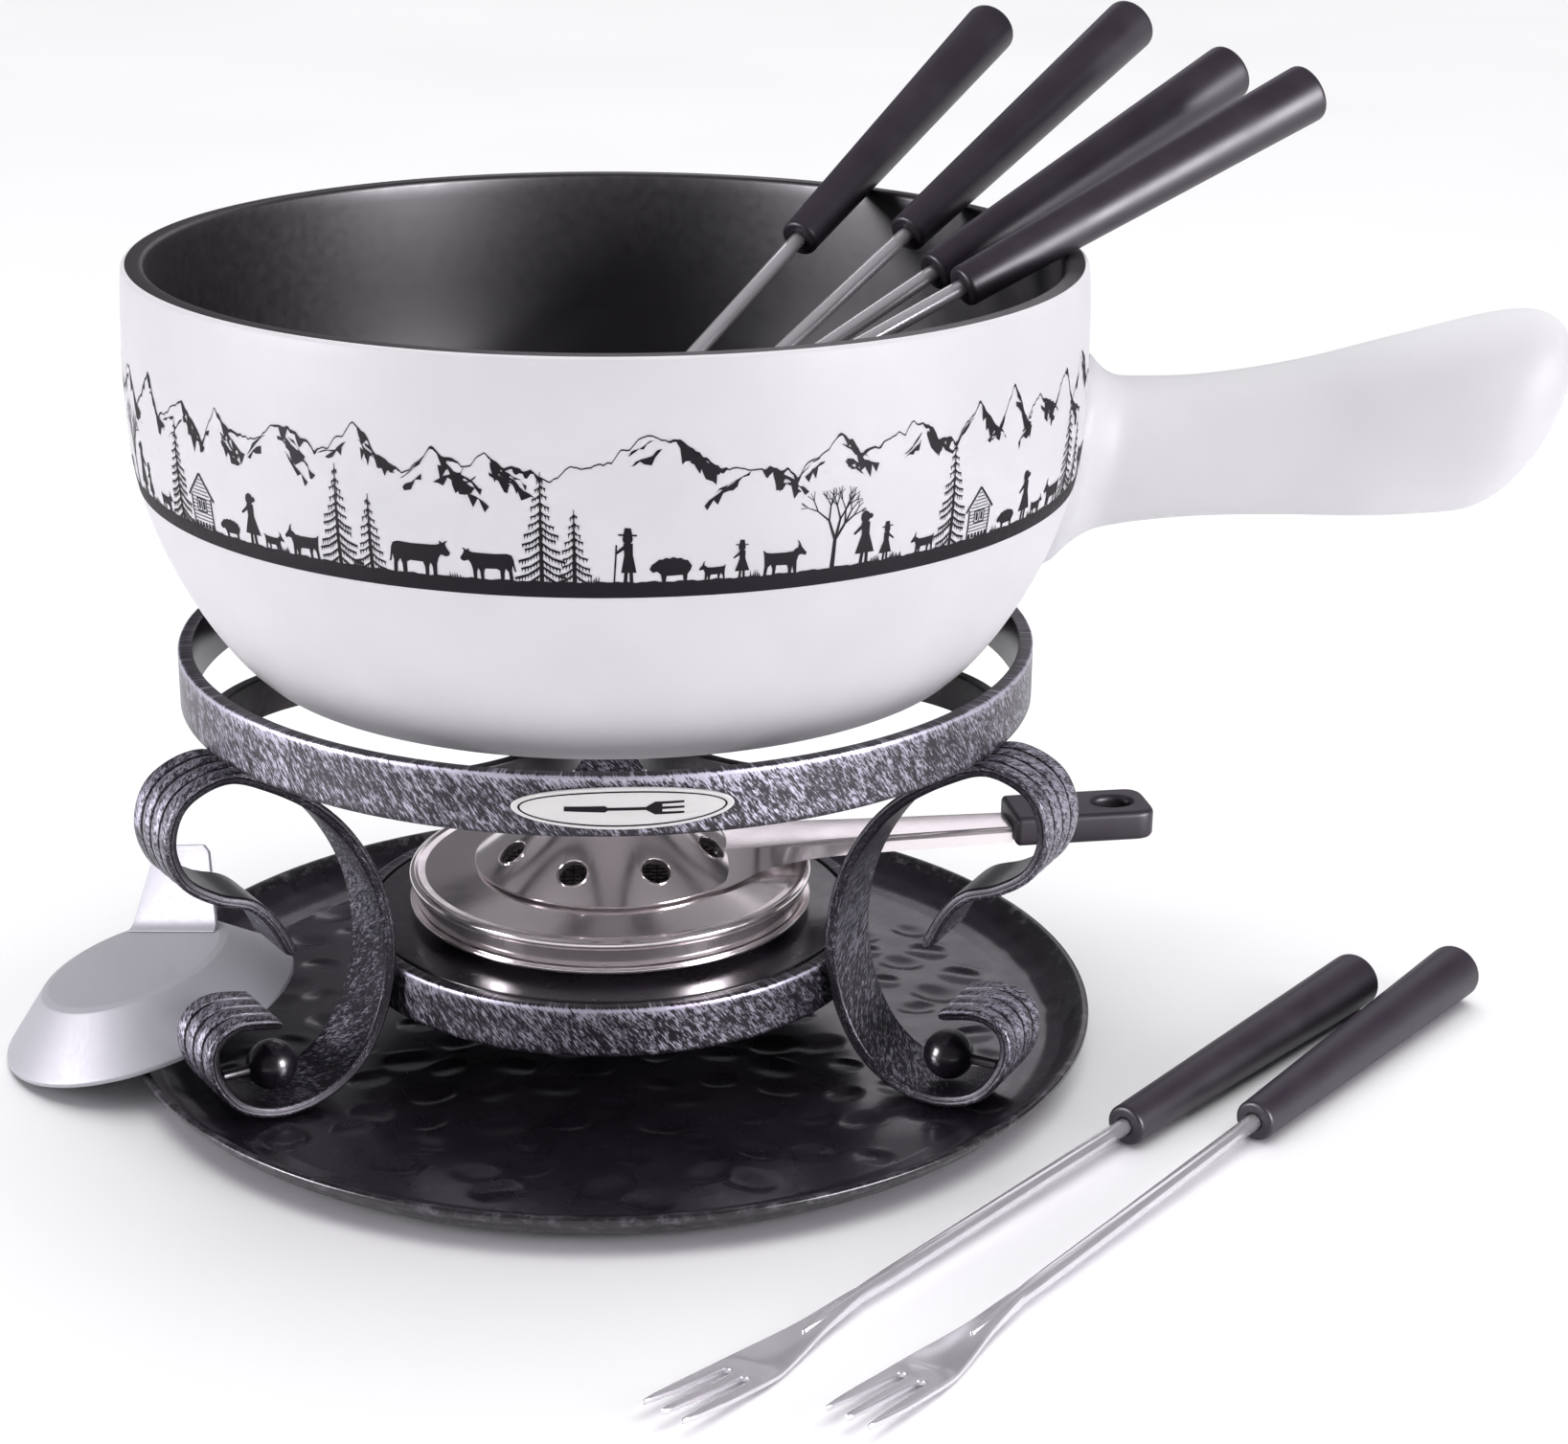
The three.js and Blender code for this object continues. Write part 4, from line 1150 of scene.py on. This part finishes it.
def grass(random):
    blades = []
    for x in [0.5 * k for k in range(5)]:
        tip = (x + random.uniform(-0.3, 0.3), random.uniform(0.8, 1.9))
        blades.append([(x - 0.2, 0), (x + 0.2, 0), tip])
    return blades


def placed(outlines, x, scale=1.0, flip=False):
    side = -1 if flip else 1
    return [[(x + side * scale * px, scale * py - 0.15) for px, py in outline] for outline in outlines]


def figure(kind, size, ground, x, flip, random):
    """Outlines of one thing in the parade. Its ground starts at ground and has its middle at x."""
    if kind == "fir":
        return placed(fir(size, size * 0.24, random), x)
    if kind == "tree":
        return placed(bare_tree(size, random), x)
    if kind == "hut":
        return placed(chalet(), ground + 1, size)
    if kind == "grass":
        return placed(grass(random), ground)
    if kind in ANIMALS:
        reach = max(px for px, _ in ANIMALS[kind]) * size / 2
        return placed([ANIMALS[kind]], x + (reach if flip else -reach), size, flip)
    staff = [bar(3.1, 0, 2.6, 8.6, 0.35)] if kind == "man" else []
    return placed(person(size, kind != "man", kind != "woman") + staff, x, 1.0, flip)


def figures():
    """Every outline that stands on the ground, over one trip round the pot. The front is at 0."""
    random = np.random.RandomState(21)
    outlines = []
    ground = -sum(width for _, _, width in PARADE)
    stop = FRIEZE_AROUND + ground - 16
    while ground < stop:
        for kind, size, width in PARADE:
            flip = random.rand() > 0.5
            size *= random.uniform(0.95, 1.05)
            outlines += figure(kind, size, ground, ground + width / 2, flip, random)
            if random.rand() > 0.6:
                outlines += placed(grass(random), ground - 1)
            ground += width
            if ground > stop:
                break
    return outlines


def in_handle(x):
    """True where the pot's handle covers the frieze, a quarter round from the front."""
    half = FRIEZE_AROUND / 2
    return abs((x - half / 2 + half) % FRIEZE_AROUND - half) < HANDLE_CLEAR


def ridge_line():
    """The far mountains' edge: its places, heights over the ground and dark depths, and its peaks."""
    around = FRIEZE_AROUND
    random = np.random.RandomState(8)
    count = int(around / 0.33)
    places = np.arange(count) * around / count
    corners = [(0, 27.0)]
    while corners[-1][0] < around - 18:
        x = corners[-1][0]
        corners.append((x + random.uniform(5, 14), random.uniform(26, 32.5)))
        corners.append((corners[-1][0] + random.uniform(5, 13), random.uniform(21, 26)))
    xs, zs = np.array(corners + [(around, 27.0)]).T
    height = np.interp(places, xs, zs)
    for spacing, size in ((4.2, 1.6), (1.9, 0.9), (0.8, 0.4)):
        knots = int(around / spacing)
        values = random.uniform(-size, size, knots)
        height += np.interp(places, np.arange(knots + 1) * around / knots, np.append(values, values[0]))
    # the side that falls away from a peak is dark, in fingers
    falling = np.interp(places, (xs[1:] + xs[:-1]) / 2, (np.diff(zs) < 0).astype(float), period=around)
    fingers = int(around / 2.3)
    depth = random.uniform(0, 1, fingers) ** 1.3 * 7
    along = places * fingers / around
    tooth = 1 - np.abs(along % 1 - 0.35) / 0.65
    dark = np.clip(falling - 0.4, 0, 1) * 1.6 * (0.4 + depth[along.astype(int) % fingers] * tooth)
    return places, height, 0.3 + np.clip(dark, 0, 7), corners[1::2]


def bare_rock(places, height, peaks):
    """Jagged dark strips that run down from the peaks, between the snow."""
    random = np.random.RandomState(17)
    outlines = []
    for peak_x, peak_y in peaks:
        for side, thick in ((1, 4.6), (1, 4.0), (1, 3.0), (1, 2.0), (1, 1.2), (-1, 2.6), (-1, 0.9)):
            x = peak_x + side * random.uniform(0, 5)
            y = peak_y - random.uniform(0.5, 5.5)
            upper = []
            lower = []
            for _ in range(random.randint(4, 8)):
                y = min(y, float(np.interp(x, places, height)) - 0.4)
                upper.append((x, y))
                drift = side * random.uniform(0, 0.5)
                lower.append((x + drift, y - thick * random.uniform(0.05, 1) ** 1.3))
                x += side * random.uniform(0.6, 1.5)
                y -= random.uniform(0.1, 1.3)
            if y > 15:
                outlines.append(upper + [(x, y)] + lower[::-1])
    return outlines


def on_pot(x, y):
    """A place of the frieze on the pot's side. x runs round from the front and y is over the ground."""
    turn = -pi / 2 + 2 * pi * x / FRIEZE_AROUND
    z = GROUND_TOP + y
    r = side_radius(z) + PRINT_LIFT
    return Vector((POT_X + r * cos(turn), r * sin(turn), z)) * MM


def add_band(shape, places, low, high, over_handle):
    """A strip of quads between two heights, round the pot as far as its handle, or on above the handle too."""
    ends = [*places, FRIEZE_AROUND]
    lower = [shape.verts.new((x, y, 0)) for x, y in zip(ends, [*low, low[0]])]
    upper = [shape.verts.new((x, y, 0)) for x, y in zip(ends, [*high, high[0]])]
    for i, place in enumerate(places):
        if not in_handle(place) or (over_handle and low[i] >= OVER_HANDLE):
            shape.faces.new((lower[i], lower[i + 1], upper[i + 1], upper[i]))


def frieze():
    mesh = bpy.data.meshes.new("pot_frieze_print")
    mesh.materials.append(PRINT_BLACK)
    places, height, dark, peaks = ridge_line()
    with editing(mesh) as shape:
        for outline in figures() + bare_rock(places, height, peaks):
            if not in_handle(outline[0][0]):
                shape.faces.new([shape.verts.new((x, y, 0)) for x, y in outline])
        shape.normal_update()
        bmesh.ops.triangulate(shape, faces=shape.faces[:])
        slice_up(shape, 2.5, 0)
        slice_up(shape, 2.5, 1)
        add_band(shape, places, height - dark, height, True)
        ground = np.linspace(0, FRIEZE_AROUND, 721)[:-1]
        uneven = 0.12 * np.sin(ground * 0.9) + 0.1 * np.sin(ground * 2.3)
        bottom, middle = (np.full(len(ground), y) for y in (GROUND_BOTTOM - GROUND_TOP, -1.8))
        add_band(shape, ground, bottom, middle, False)
        add_band(shape, ground, middle, uneven, False)
        for vertex in shape.verts:
            vertex.co = on_pot(vertex.co.x, vertex.co.y)
        bmesh.ops.triangulate(shape, faces=[f for f in shape.faces if len(f.verts) > 4])
        shape.normal_update()
        for face in shape.faces:
            centre = face.calc_center_median()
            if face.normal.dot(Vector((centre.x - POT_X * MM, centre.y, 0))) < 0:
                face.normal_flip()
    mesh.shade_smooth()
    keep(add_object("pot_frieze_print", mesh), "pot", "pot_glaze")


# ---- Forks ----

FORK_LENGTH = 274
FORK_HANDLE = 109
FORK_ROD = 2
FORK_ROD_START = 78  # inside the handle
FORK_CREASE = 244  # where the palm bends up into the tines


def fork_place(index):
    """The move that takes a fork along X, from its handle's free end, to where the frame has it."""
    handle = points_mm(f"fork_{index}_handle")
    middle = handle.mean(axis=0)
    along = points_mm(f"fork_{index}_steel").mean(axis=0) - middle
    _, _, axes = np.linalg.svd(handle - middle)
    axis = axes[0] * (1 if axes[0] @ along > 0 else -1)
    end = middle + axis * ((handle - middle) @ axis).min()
    forward = Vector(axis)
    across = UP.cross(forward).normalized()
    turn = Matrix((forward, across, forward.cross(across))).transposed().to_4x4()
    return Matrix.Translation(Vector(end) * MM) @ turn


def head_outline():
    """Outline of the fork's head: the neck and palm, then three tines."""
    palm = [(206, 1.1), (212, 1.6), (218, 2.2), (226, 3.1), (236, 5), (243, 6.2), (248, 6.5), (252, 6.5)]
    outer = [(262, 6.5), (270, 6.15), (273.6, 5.7), (274, 5.35), (273.4, 5.0), (266, 4.2), (252.5, 3.5)]
    angles = [pi / 2 + pi * k / 8 for k in range(1, 8)]
    slot = [(251.6 + 1.05 * cos(a), 2.45 + 1.05 * sin(a)) for a in angles]
    slot += [(252.5, 1.4), (266, 1.0), (273, 0.75), (273.9, 0.35)]
    half = list(catmull(palm, 30)) + outer + slot
    return half + [(x, -y) for x, y in reversed(half)]


def head_height(x):
    """Height of the head's middle sheet along the fork."""
    down = -1.35 * smoothstep(209, 244, x)
    share = max(0, x - FORK_CREASE) / (FORK_LENGTH - FORK_CREASE)
    return down + 3.4 * share**1.25


def fork_steel(name):
    head = flat_shape(name, [head_outline()], 1.5, 0.42, FORK_STEEL, 2)
    with editing(head.data) as shape:
        slice_up(shape, 1.6 * MM, 0)
        slice_up(shape, 1.7 * MM, 1)
        for vertex in shape.verts:
            x, y, z = vertex.co / MM
            thick = 1 + 0.95 * smoothstep(236, 208, x)
            half = float(np.interp(x, (208, 226, 243, 274), (1.6, 3.1, 6.4, 6.5)))
            dish = 0.6 * smoothstep(222, 238, x) * smoothstep(250, 243, x) * max(0, 1 - (y / half) ** 2)
            vertex.co.z = (z * thick - dish + head_height(x)) * MM
    profile = [(0, FORK_ROD_START), (FORK_ROD - 0.3, FORK_ROD_START), (FORK_ROD, FORK_ROD_START + 0.4)]
    profile += [(FORK_ROD, 200), (1.93, 206), (1.75, 212), (1.4, 218), (0.9, 224), (0.4, 229), (0, 230)]
    return joined(head, make_mesh("rod", along_x(turned(profile, 40)), FORK_STEEL))


def fork_handle(name):
    free = 7.35
    rod_end = 5.1
    bore = FORK_ROD + 0.08
    profile = [
        (0, 0.15), (free - 2.4, 0), (free, 0.8), (free, 3),
        (rod_end, FORK_HANDLE - 3), (rod_end, FORK_HANDLE), (FORK_ROD + 0.4, FORK_HANDLE),
        (bore, FORK_HANDLE - 0.5), (bore, FORK_ROD_START), (0, FORK_ROD_START),
    ]
    profile = rounded(profile, [0, 2.6, 1.6, 3, 2.4, 2.6, 0.2, 0.2, 0, 0], steps=7)
    return make_mesh(name, along_x(turned(profile, 72)), BLACK_PLASTIC)


def forks():
    for index in range(1, 7):
        steel_part = fork_steel(f"fork_{index}_polished")
        handle = fork_handle(f"fork_{index}_grip")
        parts = ((steel_part, "steel", "polished_steel"), (handle, "handle", "black_plastic"))
        for thing, node, slot in parts:
            thing.data.transform(fork_place(index))
            keep(thing, f"fork_{index}", slot, f"fork_{index}_{node}")


# ---- Snuffer lid ----

SNUFFER_RADIUS = 37.95
SNUFFER_HEIGHT = 14
SNUFFER_CENTRE = (-117.7, -11.4, 10.6)
SNUFFER_TILT = radians(15.7)
SNUFFER_TILT_TOWARDS = radians(184)
SNUFFER_TAB_TOWARDS = 58
SNUFFER_TAB_LEAN = 36  # outwards from the lid's axis


def snuffer_tab():
    corners = [(-15, 0), (15, 0), (9.5, 21), (7.5, 22.9), (-7.5, 22.9), (-9.5, 21)]
    outline = rounded(corners, [0, 0, 1.5, 1.5, 1.5, 1.5], closed=True)
    tab = flat_shape("snuffer_tab", [outline], 1.0, 0.3, SATIN_ALUMINIUM, 2)
    leaning = Matrix.Rotation(-radians(SNUFFER_TAB_LEAN), 3, "X")
    foot = Vector((0, 16.5, SNUFFER_HEIGHT - 0.6))
    with editing(tab.data) as shape:
        slice_up(shape, 1.2 * MM, 1)
        for vertex in shape.verts:
            x, y, z = vertex.co / MM
            # the tab leaves the flat top in a small bend
            bend = 1.3 * max(0, 1 - y / 3) ** 2
            vertex.co = (leaning @ Vector((x, -z - bend, y)) + foot) * MM
    return tab


def snuffer_lid():
    """One sheet: a shallow cone with a flat top, and a tab bent up from the back of the top."""
    hem = SNUFFER_RADIUS - SHEET
    ceiling = SNUFFER_HEIGHT - SHEET
    outer = [(hem, 0), (SNUFFER_RADIUS, 0), (SNUFFER_RADIUS, 1.2), (24.6, 13.4)]
    outer += [(22.6, SNUFFER_HEIGHT), (0, SNUFFER_HEIGHT)]
    outer = rounded(outer, [0.2, 0.35, 0.8, 1.6, 1.6, 0], steps=6)
    inner = [(0, ceiling), (22.4, ceiling), (24.1, 12.6), (hem, 1.0), (hem, 0)]
    inner = rounded(inner, [0, 1.2, 1.2, 0.6, 0.2])
    lid = make_mesh("snuffer_lid_spun", turned(outer + inner, 160), SATIN_ALUMINIUM)
    joined(lid, snuffer_tab())
    lean, towards = SNUFFER_TILT, SNUFFER_TILT_TOWARDS
    axis = Vector((sin(lean) * cos(towards), sin(lean) * sin(towards), cos(lean)))
    turn = UP.rotation_difference(axis).to_matrix().to_4x4()
    spin = Matrix.Rotation(radians(SNUFFER_TAB_TOWARDS - 90), 4, "Z")
    lid.data.transform(Matrix.Translation(Vector(SNUFFER_CENTRE) * MM) @ turn @ spin)
    keep(lid, "snuffer", "satin_aluminium", "snuffer_lid")


# ---- Stage ----

FLOOR_HALF = 40


def floor():
    mesh = bpy.data.meshes.new("floor")
    corners = [(x * FLOOR_HALF, y * FLOOR_HALF, 0) for x, y in ((-1, -1), (1, -1), (1, 1), (-1, 1))]
    mesh.from_pydata(corners, [], [(0, 1, 2, 3)])
    mesh.materials.append(FLOOR_WHITE)
    add_object("floor", mesh)


WORLD_COLOUR = (0.93, 0.9, 0.97, 1)
WORLD_ON_SET = 0.16
WORLD_SEEN = 0.95
LIGHT_TINT = (0.97, 0.93, 1.0)
SET_MIDDLE = (0, 0, 0.16)
LEFT_SIDE = (-1.33, -0.43)
RIGHT_SIDE = (1.13, -0.82)


def world():
    """Dim for the set, and pale where it is seen over the floor's far edge."""
    made = bpy.data.worlds.new("studio")
    made.use_nodes = True
    tree = made.node_tree
    background = tree.nodes["Background"]
    background.inputs["Color"].default_value = WORLD_COLOUR
    strength = tree.nodes.new("ShaderNodeMapRange")
    strength.inputs["To Min"].default_value = WORLD_ON_SET
    strength.inputs["To Max"].default_value = WORLD_SEEN
    seen = tree.nodes.new("ShaderNodeLightPath").outputs["Is Camera Ray"]
    tree.links.new(seen, strength.inputs["Value"])
    tree.links.new(strength.outputs["Result"], background.inputs["Strength"])
    bpy.context.scene.world = made


def area_light(name, place, aim, size, power):
    light = bpy.data.lights.new(name, "AREA")
    light.shape = "RECTANGLE"
    light.size, light.size_y = size
    light.energy = power
    light.color = LIGHT_TINT
    thing = add_object(name, light)
    thing.location = place
    thing.rotation_euler = (Vector(aim) - Vector(place)).to_track_quat("-Z", "Y").to_euler()
    return thing


def studio():
    """A sky of light that whitens the whole floor, softboxes on both sides, and lights for gloss alone."""
    sky = bpy.data.lights.new("sky_panel", "SUN")
    sky.energy = 3.1
    sky.angle = radians(75)
    thing = add_object("sky_panel", sky)
    thing.rotation_euler = (radians(-12), radians(6), 0)
    thing.visible_glossy = False
    for name, side in (("left", LEFT_SIDE), ("right", RIGHT_SIDE)):
        area_light(f"{name}_softbox", (*side, 0.45), SET_MIDDLE, (0.6, 0.8), 7)
        area_light(f"{name}_gloss", (*side, 0.4), SET_MIDDLE, (0.5, 0.6), 34).visible_diffuse = False
    area_light("back_gloss", (0.5, 1.5, 0.85), (0.05, -0.05, 0), (1.3, 0.5), 2.4).visible_diffuse = False
    bpy.context.scene.view_settings.view_transform = "Standard"


CAMERA_PLACE = (0, -0.73, 0.3446)
CAMERA_YAW = radians(3.483)
CAMERA_PITCH = radians(19.659)
CAMERA_ROLL = radians(0.662)
CAMERA_LENS = 69.94


def camera():
    level = Vector((sin(CAMERA_YAW), cos(CAMERA_YAW), 0))
    forward = level * cos(CAMERA_PITCH) - UP * sin(CAMERA_PITCH)
    right = level.cross(UP)
    up = right.cross(forward)
    rolled_right = right * cos(CAMERA_ROLL) + up * sin(CAMERA_ROLL)
    rolled_up = up * cos(CAMERA_ROLL) - right * sin(CAMERA_ROLL)
    data = bpy.data.cameras.new("camera")
    data.lens = CAMERA_LENS
    data.sensor_width = 36
    data.sensor_fit = "HORIZONTAL"
    data.clip_start = 0.01
    thing = add_object("camera", data)
    turn = Matrix((rolled_right, rolled_up, -forward)).transposed().to_4x4()
    thing.matrix_world = Matrix.Translation(CAMERA_PLACE) @ turn
    bpy.context.scene.camera = thing


# ---- The set ----

camera()
floor()
world()
studio()

tray()
hoop("top_ring_strap", "top_ring")
hoop("lower_ring_strap", "lower_ring")
ring_inside = float(from_axis(points_mm("top_ring")).min())
for number in range(1, 5):
    pot_rest(f"pot_rest_{number}_strap", f"pot_rest_{number}", ring_inside)
for number in range(1, 4):
    leg(f"leg_{number}_scroll", f"leg_{number}")
    foot_ball(f"foot_ball_{number}_bead", f"foot_ball_{number}")
burner_plate()
ring_label()
burner_pan()
burner_pad()
burner_screen()
burner_top()
regulator()
regulator_grip()
pot()
frieze()
forks()
snuffer_lid()
